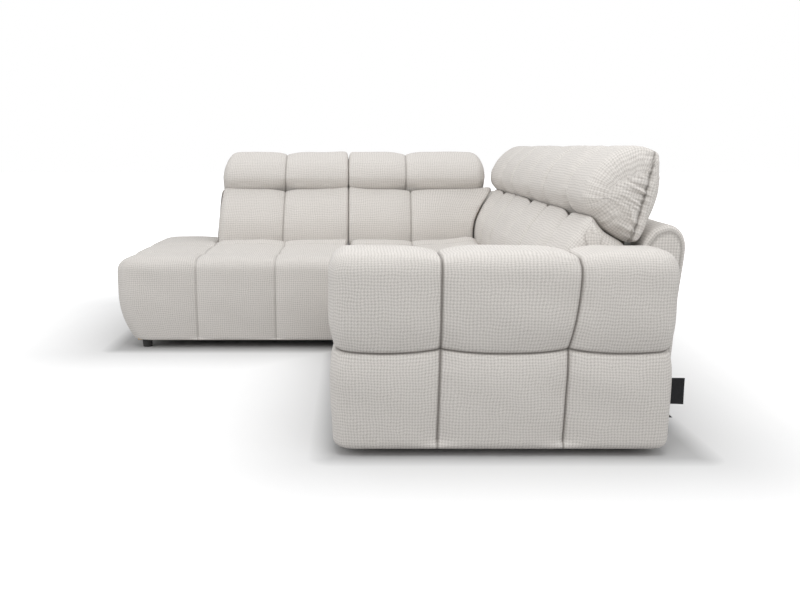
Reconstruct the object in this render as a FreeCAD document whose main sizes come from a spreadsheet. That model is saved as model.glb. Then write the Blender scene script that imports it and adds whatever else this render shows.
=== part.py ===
import FreeCAD, Part
import math
import os

# Corner sofa with a main run, an open ended ottoman wing and five reclining headrests.
# Frame: X from the open end of the ottoman to the back of the main run, Y from the arm to the
# far back, Z up. The origin is on the floor, under the middle of the whole sofa.
# Both rows share one section. A depth is measured along it from the module line, where the
# ottoman meets the main run, to the rear of the backrest.

os.makedirs("parts", exist_ok=True)
doc = FreeCAD.newDocument("CornerSofa")

# Driving dimensions in millimetres and degrees
SIZES = [
    ("run_length", 2720, "length of the main run, from the arm's outer face to the rear of the far row"),
    ("run_depth", 1143, "depth of a row, from the module line to the rear of its back"),
    ("ottoman_length", 1100, "length of the ottoman, from the module line to its open end"),
    ("rear_setback", 70, "distance the ottoman's open part stops short of the rear of its back"),
    ("module_gap", 3, "gap between the two modules at the module line"),
    ("soft_gap", 0.4, "gap between soft pieces that only lean on each other"),
    ("foot_height", 40, "floor to the underside of the frame"),
    ("foot_radius", 25, "radius of a foot at the top"),
    ("foot_taper", 3, "how much narrower the foot is at the floor"),
    ("foot_inset", 38, "foot axis in from the end of the rails"),
    ("rail_height", 150, "height of the seat rails"),
    ("rail_thickness", 25, "thickness of the seat rails"),
    ("rail_setback", 20, "front rail behind the front of the module"),
    ("dust_cover_thickness", 0.8, "thickness of the cloth under the frame"),
    ("spring_wire", 4, "diameter of the wave spring wire"),
    ("spring_wave", 60, "half a wave of a spring, along it"),
    ("spring_swing", 48, "width of a wave spring"),
    ("spring_bend", 16, "radius of the bends in a wave spring"),
    ("spring_spacing", 150, "distance between wave springs"),
    ("seat_height", 446, "floor to the crown of the seat"),
    ("lumbar_reach", 293, "front of a lumbar cushion in front of the padded back"),
    ("seat_tuck", 30, "how far a seat stops short of the padded back"),
    ("seat_shelf", 22, "how far the lumbar cushions are let into the seat"),
    ("seat_overhang", 28, "seat padding in front of the module line"),
    ("seat_front_tuft", 281, "front tuft of a seat, front to back"),
    ("seat_rear_tuft", 94, "rear tuft of a seat, as far as the lumbar cushion"),
    ("ottoman_end_tuft", 380, "tuft at the open end of the ottoman"),
    ("ottoman_middle_tuft", 375, "middle tuft of the ottoman"),
    ("tuft_channel", 13, "depth of a sewn channel between tufts"),
    ("seat_edge", 46, "how far the edge of a seat is drawn in under its crown"),
    ("end_hem_edge", 76, "how far the open end of the ottoman is drawn in at its lower hem"),
    ("hem_padding", 10, "padding over the rail at the hem of the ottoman's open end"),
    ("cushion_edge", 20, "how far a seat is drawn in beside its neighbour"),
    ("arm_width", 280, "width of the arm, across its padding"),
    ("arm_rear_setback", 103, "rear of the arm in front of the rear of the row"),
    ("arm_overhang", 42, "arm padding in front of the module line"),
    ("arm_height", 644, "floor to the crown of the arm"),
    ("arm_clearance", 16, "floor to the lowest padding of the arm"),
    ("arm_front_tuft", 337, "front tuft of the arm"),
    ("arm_middle_tuft", 405, "middle tuft of the arm"),
    ("arm_row_height", 339, "floor to the channel between the two rows of arm tufts"),
    ("arm_edge", 40, "how far the arm is drawn in at its edges"),
    ("arm_outer_padding", 85, "padding outside the arm frame"),
    ("arm_frame_width", 135, "width of the arm frame"),
    ("arm_end_padding", 90, "padding at the front and rear of the arm frame"),
    ("arm_top_padding", 95, "padding above the arm frame"),
    ("board_thickness", 16, "thickness of the arm and back boards"),
    ("label_length", 35, "free length of the blank woven label"),
    ("label_height", 83, "height of the blank woven label"),
    ("label_thickness", 1.5, "thickness of the folded label"),
    ("label_level", 164, "floor to the lower edge of the label"),
    ("corner_room", 250, "rear of the far row to the far back unit of the main run"),
    ("corner_headrest_gap", 34, "gap between the two headrests that meet in the corner"),
    ("corner_lumbar_gap", 16, "gap between the two lumbar cushions that meet in the corner"),
    ("corner_channel", 345, "module line to the channel of the corner's back cushions"),
    ("unit_gap", 3, "gap between neighbouring back cushions"),
    ("back_thickness", 158, "thickness of the padded back"),
    ("back_height", 706, "floor to the crown of the padded back"),
    ("back_front_nose", 90, "radius of the padding over the front of the back"),
    ("back_rear_nose", 68, "radius of the padding over the rear of the back"),
    ("back_rear_padding", 38, "padding behind the back frame"),
    ("back_end_padding", 24, "padding over the end of the back frame"),
    ("back_top_padding", 106, "padding over the top of the back frame"),
    ("back_lean_in", 20, "how far the rear of the back leans in at the bottom"),
    ("top_rail_height", 110, "height of the top rail of a back frame"),
    ("post_width", 45, "width of a post in the back frame"),
    ("lumbar_depth", 258, "depth of a lumbar cushion"),
    ("lumbar_height", 283, "height of a lumbar cushion"),
    ("lumbar_channel", 14, "depth of the middle channel of a back cushion"),
    ("crown_trim", 0.7, "how far the drawn outlines stand off a back cushion's section"),
    ("lumbar_side_edge", 16, "how far a back cushion is drawn in at its sides"),
    ("hinge_standoff", 10, "hinge axis in front of the back frame"),
    ("hinge_height", 715, "floor to the hinge axis of a headrest"),
    ("hinge_spread", 440, "distance between the two hinges of a headrest"),
    ("hinge_pin_radius", 4, "radius of a hinge pin"),
    ("hinge_running_gap", 0.05, "radial clearance of a hinge pin"),
    ("hinge_side_gap", 0.3, "side clearance between the hinge plates"),
    ("hinge_plate", 4, "thickness of a hinge plate"),
    ("hinge_eye_radius", 13, "radius of the round end of a hinge plate"),
    ("hinge_flange_width", 44, "width of the flange screwed to the back frame"),
    ("hinge_flange_thickness", 3, "thickness of the flange"),
    ("hinge_arm_length", 115, "length of the moving hinge arm above its axis"),
    ("hinge_slit_margin", 3, "room around the hinge in the headrest"),
    ("headrest_lean", 13, "lean of the main run's headrests, from upright"),
    ("headrest_front", 155, "hinge axis to the front of a headrest"),
    ("headrest_rear", 32, "hinge axis to the rear of a headrest"),
    ("headrest_top", 241, "hinge axis to the top of a headrest"),
    ("far_row_drop", 34, "how much lower the headrests of the far row are"),
    ("headrest_foot", 80, "hinge axis to the bottom of a headrest"),
    ("core_thickness", 15, "thickness of the board in a headrest"),
    ("core_setback", 6, "rear of that board in front of the hinge axis"),
    ("core_foot", 18, "lower edge of that board above the hinge axis"),
    ("core_top_padding", 28, "padding above that board"),
    ("core_side_padding", 55, "padding beside that board"),
    ("connector_plate", 3, "thickness of the steel module connectors"),
    ("connector_width", 60, "width of a module connector"),
    ("connector_stem_radius", 5, "radius of the connector's stem"),
    ("connector_head_radius", 10, "radius of the connector's head"),
]

sheet = doc.addObject("Spreadsheet::Sheet", "Sizes")
for row, (alias, number, meaning) in enumerate(SIZES, start=1):
    sheet.set(f"A{row}", meaning)
    sheet.set(f"B{row}", str(number))
    sheet.setAlias(f"B{row}", alias)
doc.recompute()

# Places and levels that several pieces share, each worked out from the sizes
LAYOUT = {
    "module_x": "(Sizes.ottoman_length - Sizes.run_depth) / 2",
    "near_y": "-Sizes.run_length / 2",
    "seats_y": "Layout.near_y + Sizes.arm_width",
    "far_row_y": "Sizes.run_length / 2 - Sizes.run_depth",
    "far_y": "Sizes.run_length / 2",
    "wing_y": "Layout.far_row_y - Sizes.seat_overhang",
    "wing_end_x": "Layout.module_x - Sizes.ottoman_length",
    "wing_frame_x": "Layout.wing_end_x + Sizes.end_hem_edge + Sizes.hem_padding",
    "rail_top": "Sizes.foot_height + Sizes.rail_height",
    "seat_base": "Layout.rail_top + Sizes.spring_wire + 2 * Sizes.soft_gap",
    "cover_base": "Sizes.foot_height - Sizes.dust_cover_thickness",
    "back_depth": "Sizes.run_depth - Sizes.back_thickness",
    "seat_rear": "Layout.back_depth - Sizes.seat_tuck",
    "rail_rear": "Layout.back_depth - Sizes.soft_gap",
    "frame_depth": "Sizes.back_thickness - Sizes.back_rear_padding - Sizes.back_lean_in",
    "back_frame_height": "Sizes.back_height - Sizes.back_top_padding",
    "hinge_depth": "Layout.back_depth - Sizes.hinge_standoff",
    "lumbar_front": "Layout.back_depth - Sizes.lumbar_reach",
    "seat_second_seam": "Layout.lumbar_front - Sizes.seat_rear_tuft",
    "unit_width": "(Layout.far_y - Layout.seats_y - Sizes.corner_room) / 3",
    "corner_headrest_width": "Layout.hinge_depth - Sizes.headrest_front - Sizes.corner_headrest_gap",
    "corner_lumbar_width": "Layout.lumbar_front - Sizes.corner_lumbar_gap",
    "arm_depth": "Sizes.run_depth + Sizes.arm_overhang - Sizes.arm_rear_setback",
    "shelf_level": "Sizes.seat_height - Sizes.seat_shelf",
    "lumbar_base": "Layout.shelf_level + Sizes.soft_gap",
    "arm_frame_y": "Layout.near_y + Sizes.arm_outer_padding",
    "arm_frame_rear_y": "Layout.arm_frame_y + Sizes.arm_frame_width",
    "seat_width": "(Layout.wing_y - Layout.seats_y) / 2",
}
layout = doc.addObject("App::VarSet", "Layout")
for name, formula in LAYOUT.items():
    layout.addProperty("App::PropertyFloat", name)
    layout.setExpression(name, formula)
doc.recompute()

NODES = []


def size(name):
    """Number in the sheet under this alias."""
    return float(sheet.get(name))


def place(name):
    """Number that the layout works out under this name."""
    return float(getattr(layout, name))


def node(obj, label):
    """Name a finished sub-part, which is one node of the sofa."""
    obj.Label = label
    NODES.append(obj)
    return obj


def bind(obj, formulas):
    """Bind properties of an object to formulas over the sheet and the layout."""
    for name, formula in formulas.items():
        obj.setExpression(name, formula)
    return obj


def box(corner, sides):
    """Box from the formulas of its lowest corner and of its sides along X, Y and Z."""
    formulas = dict(zip(("Length", "Width", "Height"), sides))
    formulas.update(zip(("Placement.Base.x", "Placement.Base.y", "Placement.Base.z"), corner))
    return bind(doc.addObject("Part::Box", "Box"), formulas)


def rod(centre, radius, length, axis=None):
    """Cylinder from the formulas of its start, radius and length, along Z or along the axis given."""
    obj = doc.addObject("Part::Cylinder", "Rod")
    if axis is not None:
        turn = FreeCAD.Rotation(FreeCAD.Vector(0, 0, 1), axis)
        obj.Placement = FreeCAD.Placement(FreeCAD.Vector(), turn)
    formulas = {"Radius": radius, "Height": length}
    formulas.update(zip(("Placement.Base.x", "Placement.Base.y", "Placement.Base.z"), centre))
    return bind(obj, formulas)


def group(members, label):
    """One node that holds several separate solids."""
    obj = doc.addObject("Part::Compound", "Group")
    obj.Links = members
    return node(obj, label)


def fused(members):
    """One solid made of several that touch."""
    obj = doc.addObject("Part::MultiFuse", "Fused")
    obj.Shapes = members
    obj.Refine = True
    return obj


def cut(base, tool):
    """One solid less another."""
    obj = doc.addObject("Part::Cut", "Cut")
    obj.Base = base
    obj.Tool = tool
    return obj


def soft_node(shape, label, where=None):
    """Soft sub-part from a finished shape, set down at its place."""
    obj = doc.addObject("Part::Feature", "Soft")
    obj.Shape = shape
    obj.Placement = where or FreeCAD.Placement()
    return node(obj, label)


# Soft forms: three drawn outlines, one along each axis, are pushed through each other. Every
# outline runs from seam to seam in shallow arcs, so the solid crowns between its seams, dips
# in a channel at each seam and is drawn in at its edges.

OVERSHOOT = 20.0  # how far each drawn outline is pushed past the others, so that none ends on a crown
SIDES = ("x_low", "x_high", "y_low", "y_high", "z_low", "z_high")
AXES = (FreeCAD.Vector(1, 0, 0), FreeCAD.Vector(0, 1, 0), FreeCAD.Vector(0, 0, 1))


def point(axis_a, a, axis_b, b, axis_c=0, c=0.0):
    """Point with the coordinates a, b and c on the axes given."""
    values = [0.0, 0.0, 0.0]
    values[axis_c] = c
    values[axis_a] = a
    values[axis_b] = b
    return FreeCAD.Vector(*values)


def scallops(stations, insets, to_point):
    """Edges from station to station: an arc that crowns on the face, or a line on a flat face."""
    edges = []
    stops = list(zip(stations, insets))
    for (start, low), (end, high) in zip(stops, stops[1:]):
        if low == 0 or high == 0:
            edges.append(Part.LineSegment(to_point(start, low), to_point(end, high)))
            continue
        share = math.sqrt(low) / (math.sqrt(low) + math.sqrt(high))
        crown = to_point(start + (end - start) * share, 0.0)
        edges.append(Part.Arc(to_point(start, low), crown, to_point(end, high)))
    return edges


def outline(axes, low, high, seams, edge, channel, third_at):
    """Face in the plane of two axes, drawn in at its corners and at its seams."""
    first, second = axes
    third = 3 - first - second
    names = "xyz"
    left, right = names[first] + "_low", names[first] + "_high"
    bottom, top = names[second] + "_low", names[second] + "_high"

    def side(along, across, face, outward, ends, insets):
        """Edges of one side, whose face lies at the given place across the outline."""
        depth = channel.get(face, 0.0)
        inner = [s for s in seams.get(along, []) if depth and ends[0] < s < ends[1]]
        level = (high if outward > 0 else low)[across]

        def to_point(at, inset):
            return point(along, at, across, level - outward * inset, third, third_at)

        return scallops([ends[0]] + inner + [ends[1]],
                        [insets[0]] + [depth] * len(inner) + [insets[1]], to_point)

    left_foot = edge.get(left + "_hem", edge[left]) if second == 2 else edge[left]
    right_foot = edge.get(right + "_hem", edge[right]) if second == 2 else edge[right]
    floor_ends = (low[first] + left_foot, high[first] - right_foot)
    roof_ends = (low[first] + edge[left], high[first] - edge[right])
    up_ends = (low[second] + edge[bottom], high[second] - edge[top])
    edges = side(first, second, bottom, -1, floor_ends, (edge[bottom], edge[bottom]))
    edges += side(second, first, right, 1, up_ends, (right_foot, edge[right]))
    edges += side(first, second, top, 1, roof_ends, (edge[top], edge[top]))
    edges += side(second, first, left, -1, up_ends, (left_foot, edge[left]))
    return section_face(edges)


def section_face(edges):
    """Face inside a closed row of edges, in any order."""
    wire = Part.Wire(Part.__sortEdges__([edge.toShape() for edge in edges]))
    return Part.Face(wire)


def soft_block(low, high, seams, edge, channel, section=None):
    """Tufted block between two corners. A section, where given, replaces the outline across Y."""
    full_edge = {side: 0.0 for side in SIDES}
    full_edge.update(edge)
    solid = None
    for first, second in ((1, 2), (0, 1), (0, 2)):
        third = 3 - first - second
        start = low[third] - OVERSHOOT
        if section is not None and third == 1:
            face = section.translated(AXES[1] * start)
        else:
            face = outline((first, second), low, high, seams, full_edge, channel, start)
        prism = face.extrude(AXES[third] * (high[third] + OVERSHOOT - start))
        solid = prism if solid is None else solid.common(prism)
    return solid.Solids[0]


def plain_box(low, high):
    """Plain box between two corners, to cut or split a soft form with."""
    sides = [b - a for a, b in zip(low, high)]
    return Part.makeBox(*sides, FreeCAD.Vector(*low))


def clip(shape, **limits):
    """Piece of a solid inside limits such as z_low, each a plane across an axis."""
    bound = shape.BoundBox
    low = [bound.XMin - OVERSHOOT, bound.YMin - OVERSHOOT, bound.ZMin - OVERSHOOT]
    high = [bound.XMax + OVERSHOOT, bound.YMax + OVERSHOOT, bound.ZMax + OVERSHOOT]
    for index, axis in enumerate("xyz"):
        low[index] = limits.get(axis + "_low", low[index])
        high[index] = limits.get(axis + "_high", high[index])
    return shape.common(plain_box(low, high)).Solids[0]


# Seat frames: rails on edge, wave springs across them, cloth below and feet


def seat_rails(label, x_span, y_span, cross_count):
    """Long rails along the front and rear of a seat frame and cross rails between them, on edge."""
    (x_start, x_end), (y_start, y_end) = x_span, y_span
    thick = "Sizes.rail_thickness"
    tall = "Sizes.rail_height"
    lift = "Sizes.foot_height"
    along = f"({y_end}) - ({y_start})"
    across = f"({x_end}) - ({x_start}) - 2 * {thick}"
    front = box((x_start, y_start, lift), (thick, along, tall))
    rear = box((f"({x_end}) - {thick}", y_start, lift), (thick, along, tall))
    group([front, rear], f"{label}_long_rails")
    rails = []
    for index in range(cross_count):
        share = index / (cross_count - 1)
        at = f"({y_start}) + (({along}) - {thick}) * {share:.4f}"
        rails.append(box((f"({x_start}) + {thick}", at, lift), (across, thick, tall)))
    group(rails, f"{label}_cross_rails")


def rounded_path(corners, radius):
    """Wire through a row of corners, each rounded by an arc."""
    edges = []
    start = corners[0]
    for before, corner, after in zip(corners, corners[1:], corners[2:]):
        back = (before - corner).normalize()
        ahead = (after - corner).normalize()
        half = back.getAngle(ahead) / 2
        trim = radius / math.tan(half)
        middle = (back + ahead).normalize() * (radius / math.sin(half) - radius)
        edges.append(Part.LineSegment(start, corner + back * trim).toShape())
        edges.append(Part.Arc(corner + back * trim, corner + middle, corner + ahead * trim).toShape())
        start = corner + ahead * trim
    edges.append(Part.LineSegment(start, corners[-1]).toShape())
    return Part.Wire(edges)


def wave_spring(length, across):
    """Flat zigzag spring of one wire, from rail to rail. It runs along X, or along Y when across."""
    swing = size("spring_swing") / 2
    waves = int((length - size("spring_wave")) // size("spring_wave"))
    lead = (length - waves * size("spring_wave")) / 2
    corners = [FreeCAD.Vector(0, 0, 0)]
    for index in range(waves + 1):
        side = swing if index % 2 else -swing
        corners.append(FreeCAD.Vector(lead + index * size("spring_wave"), side, 0))
    corners.append(FreeCAD.Vector(length, 0, 0))
    path = rounded_path(corners, size("spring_bend"))
    first = corners[1] - corners[0]
    circle = Part.Wire(Part.makeCircle(size("spring_wire") / 2, corners[0], first))
    spring = path.makePipeShell([circle], True, False)
    if across:
        spring.rotate(FreeCAD.Vector(), FreeCAD.Vector(0, 0, 1), 90)
    return Part.Solid(spring) if not spring.Solids else spring.Solids[0]


def seat_springs(label, start, span, length, across=False):
    """Row of wave springs, evenly spaced over a span and laid on the rails."""
    count = int(span // size("spring_spacing"))
    gap = span / count
    level = place("rail_top") + size("spring_wire") / 2 + size("soft_gap")
    springs = []
    for index in range(count):
        shift = gap * (index + 0.5)
        at = (start[0] + shift, start[1]) if across else (start[0], start[1] + shift)
        spring = wave_spring(length, across)
        spring.translate(FreeCAD.Vector(at[0], at[1], level))
        springs.append(spring)
    soft_node(Part.makeCompound(springs), f"{label}_seat_springs")


def dust_cover(label, patches):
    """Thin cloth stapled under a seat frame and its back, from rectangles that join."""
    pieces = []
    for (x_start, x_end), (y_start, y_end) in patches:
        sides = (f"({x_end}) - ({x_start})", f"({y_end}) - ({y_start})", "Sizes.dust_cover_thickness")
        pieces.append(box((x_start, y_start, "Layout.cover_base"), sides))
    node(fused(pieces) if len(pieces) > 1 else pieces[0], f"{label}_dust_cover")


def feet(label, places):
    """Round plastic feet under a frame, a little narrower at the floor."""
    made = []
    for x_at, y_at, top in places:
        foot = doc.addObject("Part::Cone", "Foot")
        bind(foot, {
            "Radius1": "Sizes.foot_radius - Sizes.foot_taper",
            "Radius2": "Sizes.foot_radius",
            "Height": top,
            "Placement.Base.x": x_at,
            "Placement.Base.y": y_at,
        })
        made.append(foot)
    group(made, f"{label}_feet")


RUN_X = ("Layout.module_x + Sizes.rail_setback", "Layout.module_x + Layout.rail_rear")
RUN_Y = ("Layout.arm_frame_rear_y", "Layout.far_y - Sizes.back_thickness")
WING_X = ("Layout.wing_frame_x", "Layout.module_x - Sizes.module_gap")
WING_Y = ("Layout.far_row_y + Sizes.rail_setback", "Layout.far_row_y + Layout.rail_rear")


def run_base():
    """Seat frame of the main run."""
    seat_rails("run", RUN_X, RUN_Y, 5)
    length = place("rail_rear") - size("rail_setback")
    start = (place("module_x") + size("rail_setback"), place("seats_y"))
    seat_springs("run", start, place("far_y") - size("back_thickness") - start[1], length)
    run_edge_x = "Layout.module_x + Sizes.run_depth - Sizes.back_lean_in"
    run_edge_y = "Layout.far_y - Sizes.back_lean_in"
    dust_cover("run", [((RUN_X[0], run_edge_x), ("Layout.seats_y + Sizes.back_end_padding", run_edge_y))])
    front = "Layout.module_x + Sizes.rail_setback + Sizes.foot_inset"
    rear = "Layout.module_x + Layout.rail_rear - Sizes.foot_inset"
    near = "Layout.arm_frame_rear_y + Sizes.foot_inset"
    far = "Layout.far_y - Sizes.back_thickness - Sizes.foot_inset"
    middle = "(Layout.arm_frame_rear_y + Layout.far_y - Sizes.back_thickness) / 2"
    places = [(x_at, y_at, "Layout.cover_base") for y_at in (near, middle, far) for x_at in (front, rear)]
    feet("run", places)


def wing_base():
    """Seat frame of the ottoman module, with its long rails along X."""
    thick = "Sizes.rail_thickness"
    tall = "Sizes.rail_height"
    lift = "Sizes.foot_height"
    along = f"({WING_X[1]}) - ({WING_X[0]})"
    across = f"({WING_Y[1]}) - ({WING_Y[0]}) - 2 * {thick}"
    front = box((WING_X[0], WING_Y[0], lift), (along, thick, tall))
    rear = box((WING_X[0], f"({WING_Y[1]}) - {thick}", lift), (along, thick, tall))
    group([front, rear], "ottoman_long_rails")
    rails = []
    for share in (0.0, 0.5, 1.0):
        at = f"({WING_X[0]}) + (({along}) - {thick}) * {share}"
        rails.append(box((at, f"({WING_Y[0]}) + {thick}", lift), (thick, across, tall)))
    group(rails, "ottoman_cross_rails")
    length = place("rail_rear") - size("rail_setback")
    start = (place("wing_frame_x"), place("far_row_y") + size("rail_setback"))
    span = place("module_x") - size("module_gap") - start[0]
    seat_springs("ottoman", start, span, length, across=True)
    under_back = ("Layout.module_x - Layout.unit_width + Sizes.back_end_padding", WING_X[1])
    back_edge = "Layout.far_y - Sizes.back_lean_in"
    dust_cover("ottoman", [(WING_X, WING_Y), (under_back, (WING_Y[1], back_edge))])
    places = []
    for y_at in (f"({WING_Y[0]}) + Sizes.foot_inset", f"({WING_Y[1]}) - Sizes.foot_inset"):
        for x_at in (f"({WING_X[0]}) + Sizes.foot_inset", f"({WING_X[1]}) - Sizes.foot_inset"):
            places.append((x_at, y_at, "Layout.cover_base"))
    feet("ottoman", places)


# Seats: one tufted form for each, split at the springs into a cushion and a border below it


def seat_seams(front):
    """Channels across a seat, front to back."""
    return [front + size("seat_front_tuft"), front + size("seat_overhang") + place("seat_second_seam")]


def lumbar_shelf(axis):
    """Flat step behind the tufts of a seat, on which the lumbar cushions of one row stand."""
    reach = size("run_length")
    low = [-reach, -reach, place("shelf_level")]
    origin = place("module_x") if axis == 0 else place("far_row_y")
    low[axis] = origin + place("lumbar_front") - size("soft_gap")
    if axis == 1:
        low[0] = place("module_x") - place("unit_width")
    return plain_box(low, (reach, reach, reach))


def run_seats():
    """Seat cushions of the main run, the border under the two that face the room, and the corner."""
    gap = size("soft_gap")
    front = place("module_x") - size("seat_overhang")
    rear = place("module_x") + place("seat_rear")
    hem = size("foot_height")
    top = size("seat_height")
    base = place("seat_base")
    edge = {
        "x_low": size("seat_edge"),
        "z_high": size("cushion_edge"),
    }
    channel = {side: size("tuft_channel") for side in ("x_low", "z_high")}
    border_rear = place("module_x") + size("rail_setback") - gap
    borders = []
    for index, name in enumerate(("near", "middle")):
        start = place("seats_y") + index * place("seat_width") + gap
        end = start + place("seat_width") - 2 * gap
        seams = {0: seat_seams(front), 1: [(start + end) / 2]}
        block = soft_block((front, start, hem), (rear, end, top), seams, edge, channel)
        cushion = clip(block, z_low=base).cut(lumbar_shelf(0))
        soft_node(cushion.Solids[0], f"{name}_seat_cushion")
        borders.append(clip(block, z_high=base, x_high=border_rear))
    soft_node(Part.makeCompound(borders), "run_front_border")
    start = place("wing_y") + gap
    end = place("far_row_y") + place("seat_rear")
    left = place("module_x") + size("module_gap") / 2
    seams = {0: [], 1: seat_seams(place("wing_y"))}
    seams[0] = [place("module_x") + size("corner_channel")]
    edge = {"x_low": size("cushion_edge"), "z_high": size("cushion_edge")}
    block = soft_block((left, start, base), (rear, end, top), seams, edge, {"z_high": size("tuft_channel")})
    cushion = block.cut(lumbar_shelf(0)).cut(lumbar_shelf(1))
    soft_node(cushion.Solids[0], "corner_seat_cushion")


def wing_seat():
    """Ottoman padding: a cushion on the springs over borders in front, at the open end and behind."""
    low = [place("wing_end_x"), place("wing_y"), size("foot_height")]
    high = [place("module_x") - size("module_gap") / 2, place("far_y") - size("rear_setback"),
            size("seat_height")]
    first = low[0] + size("ottoman_end_tuft")
    seams = {0: [first, first + size("ottoman_middle_tuft")], 1: seat_seams(low[1])}
    edge = {
        "x_low": size("seat_edge"),
        "y_low": size("seat_edge"),
        "y_high": size("seat_edge"),
        "x_low_hem": size("end_hem_edge"),
        "z_high": size("cushion_edge"),
    }
    channel = {side: size("tuft_channel") for side in ("x_low", "y_low", "y_high", "z_high")}
    block = soft_block(low, high, seams, edge, channel)
    gap = size("soft_gap")
    base = place("seat_base")
    unit_start = place("module_x") - place("unit_width")
    rear = place("far_row_y") + place("seat_rear")
    under_back = plain_box((unit_start - gap, rear, base - OVERSHOOT),
                           (high[0] + OVERSHOOT, high[1] + OVERSHOOT, high[2] + OVERSHOOT))
    cushion = clip(block, z_low=base).cut(under_back).cut(lumbar_shelf(1))
    soft_node(cushion.Solids[0], "ottoman_seat_cushion")
    end_x = place("wing_frame_x") - gap
    front_y = place("far_row_y") + size("rail_setback") - gap
    rear_y = place("far_row_y") + place("rail_rear") + gap
    skirt = clip(block, z_high=base)
    soft_node(clip(skirt, x_high=end_x), "ottoman_end_border")
    soft_node(clip(skirt, x_low=end_x, y_high=front_y), "ottoman_front_border")
    soft_node(clip(skirt, x_low=end_x, x_high=unit_start - gap, y_low=rear_y), "ottoman_rear_border")


# Arm: a board frame inside one tufted pad, with a blank label sewn in at the rear


def arm():
    """Arm frame of boards, its padding and the blank label."""
    board = "Sizes.board_thickness"
    lift = "Sizes.foot_height"
    start_x = "Layout.module_x - Sizes.arm_overhang + Sizes.arm_end_padding"
    length = "Layout.arm_depth - 2 * Sizes.arm_end_padding"
    height = "Sizes.arm_height - Sizes.arm_top_padding - Sizes.foot_height"
    start_y = "Layout.arm_frame_y"
    inside = f"Sizes.arm_frame_width - 2 * {board}"
    inner_y = f"Layout.arm_frame_rear_y - {board}"
    between_y = f"{start_y} + {board}"
    roof_z = f"Sizes.arm_height - Sizes.arm_top_padding - {board}"
    boards = [
        box((start_x, start_y, lift), (length, board, height)),
        box((start_x, inner_y, lift), (length, board, height)),
        box((start_x, between_y, roof_z), (length, inside, board)),
        box((start_x, between_y, lift), (length, inside, board)),
    ]
    stud_z = f"{lift} + {board}"
    stud_height = f"{height} - 2 * {board}"
    for share in (0.0, 0.5, 1.0):
        at = f"{start_x} + ({length} - {board}) * {share}"
        boards.append(box((at, between_y, stud_z), (board, inside, stud_height)))
    group(boards, "arm_frame")
    feet_y = "Layout.arm_frame_y + Sizes.arm_frame_width / 2"
    places = []
    for x_at in (f"{start_x} + Sizes.foot_inset", f"{start_x} + {length} - Sizes.foot_inset"):
        places.append((x_at, feet_y, "Sizes.foot_height"))
    feet("arm", places)
    soft_node(arm_padding(), "arm_pad")
    label = box(
        ("Layout.module_x + Layout.arm_depth - Sizes.arm_overhang - Sizes.arm_edge + Sizes.soft_gap",
         "Layout.near_y + Sizes.arm_edge - Sizes.label_thickness", "Sizes.label_level"),
        ("Sizes.label_length", "Sizes.label_thickness", "Sizes.label_height"))
    node(label, "blank_label")


def arm_padding():
    """Tufted padding of the arm: three columns of two tufts over the arm frame."""
    gap = size("soft_gap")
    front = place("module_x") - size("arm_overhang")
    low = (front, place("near_y"), size("arm_clearance"))
    high = (front + place("arm_depth"), place("seats_y") - gap, size("arm_height"))
    first = front + size("arm_front_tuft")
    seams = {0: [first, first + size("arm_middle_tuft")], 2: [size("arm_row_height")]}
    draw = size("arm_edge")
    edge = {side: draw for side in ("x_low", "x_high", "y_low", "z_high")}
    edge["y_high"] = draw / 2
    edge["z_low"] = draw / 2
    channel = {side: size("tuft_channel") for side in ("x_low", "x_high", "y_low", "z_low", "z_high")}
    pad = soft_block(low, high, seams, edge, channel)
    start_x = front + size("arm_end_padding")
    end_x = start_x + place("arm_depth") - 2 * size("arm_end_padding")
    frame = plain_box((start_x, place("arm_frame_y"), 0.0),
                      (end_x, place("arm_frame_rear_y"), size("arm_height") - size("arm_top_padding")))
    rail_x = place("module_x") + size("rail_setback") - gap
    rail_end_x = place("module_x") + place("rail_rear") + gap
    inner = plain_box((rail_x, place("arm_frame_rear_y"), 0.0),
                      (rail_end_x, high[1] + OVERSHOOT, place("seat_base")))
    return pad.cut(frame).cut(inner).Solids[0]


# Backs: posts and a top rail, padded over the top, behind and at the open ends


def back_section():
    """Section of the padding: a nose over the top rail and a skin down the rear, which leans in."""
    front = place("back_depth")
    rear = size("run_depth")
    crown = size("back_height")
    shelf = place("back_frame_height")
    inside = front + place("frame_depth")
    hem = size("foot_height")
    nose, heel = size("back_front_nose"), size("back_rear_nose")
    slope = math.sqrt(0.5)
    low_rear = rear - size("back_lean_in")
    heel_z = crown - heel

    def at(depth, level):
        return FreeCAD.Vector(depth, 0, level)

    nose_mid = at(front + nose * (1 - slope), crown - nose * (1 - slope))
    heel_mid = at(rear - heel * (1 - slope), crown - heel * (1 - slope))
    edges = [
        Part.LineSegment(at(front, shelf), at(front, crown - nose)),
        Part.Arc(at(front, crown - nose), nose_mid, at(front + nose, crown)),
        Part.Arc(at(rear - heel, crown), heel_mid, at(rear, heel_z)),
        Part.LineSegment(at(rear, heel_z), at(low_rear, hem)),
        Part.LineSegment(at(low_rear, hem), at(inside, hem)),
        Part.LineSegment(at(inside, hem), at(inside, shelf)),
        Part.LineSegment(at(inside, shelf), at(front, shelf)),
    ]
    return edges


def end_cap_face():
    """Section of a closed end: the same nose and rear, filled down to the hem."""
    edges = back_section()
    front = place("back_depth")
    shelf, hem = place("back_frame_height"), size("foot_height")
    low_rear = size("run_depth") - size("back_lean_in")
    filled = edges[:4]
    filled.append(Part.LineSegment(FreeCAD.Vector(low_rear, 0, hem), FreeCAD.Vector(front, 0, hem)))
    filled.append(Part.LineSegment(FreeCAD.Vector(front, 0, hem), FreeCAD.Vector(front, 0, shelf)))
    return section_face(filled)


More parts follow.
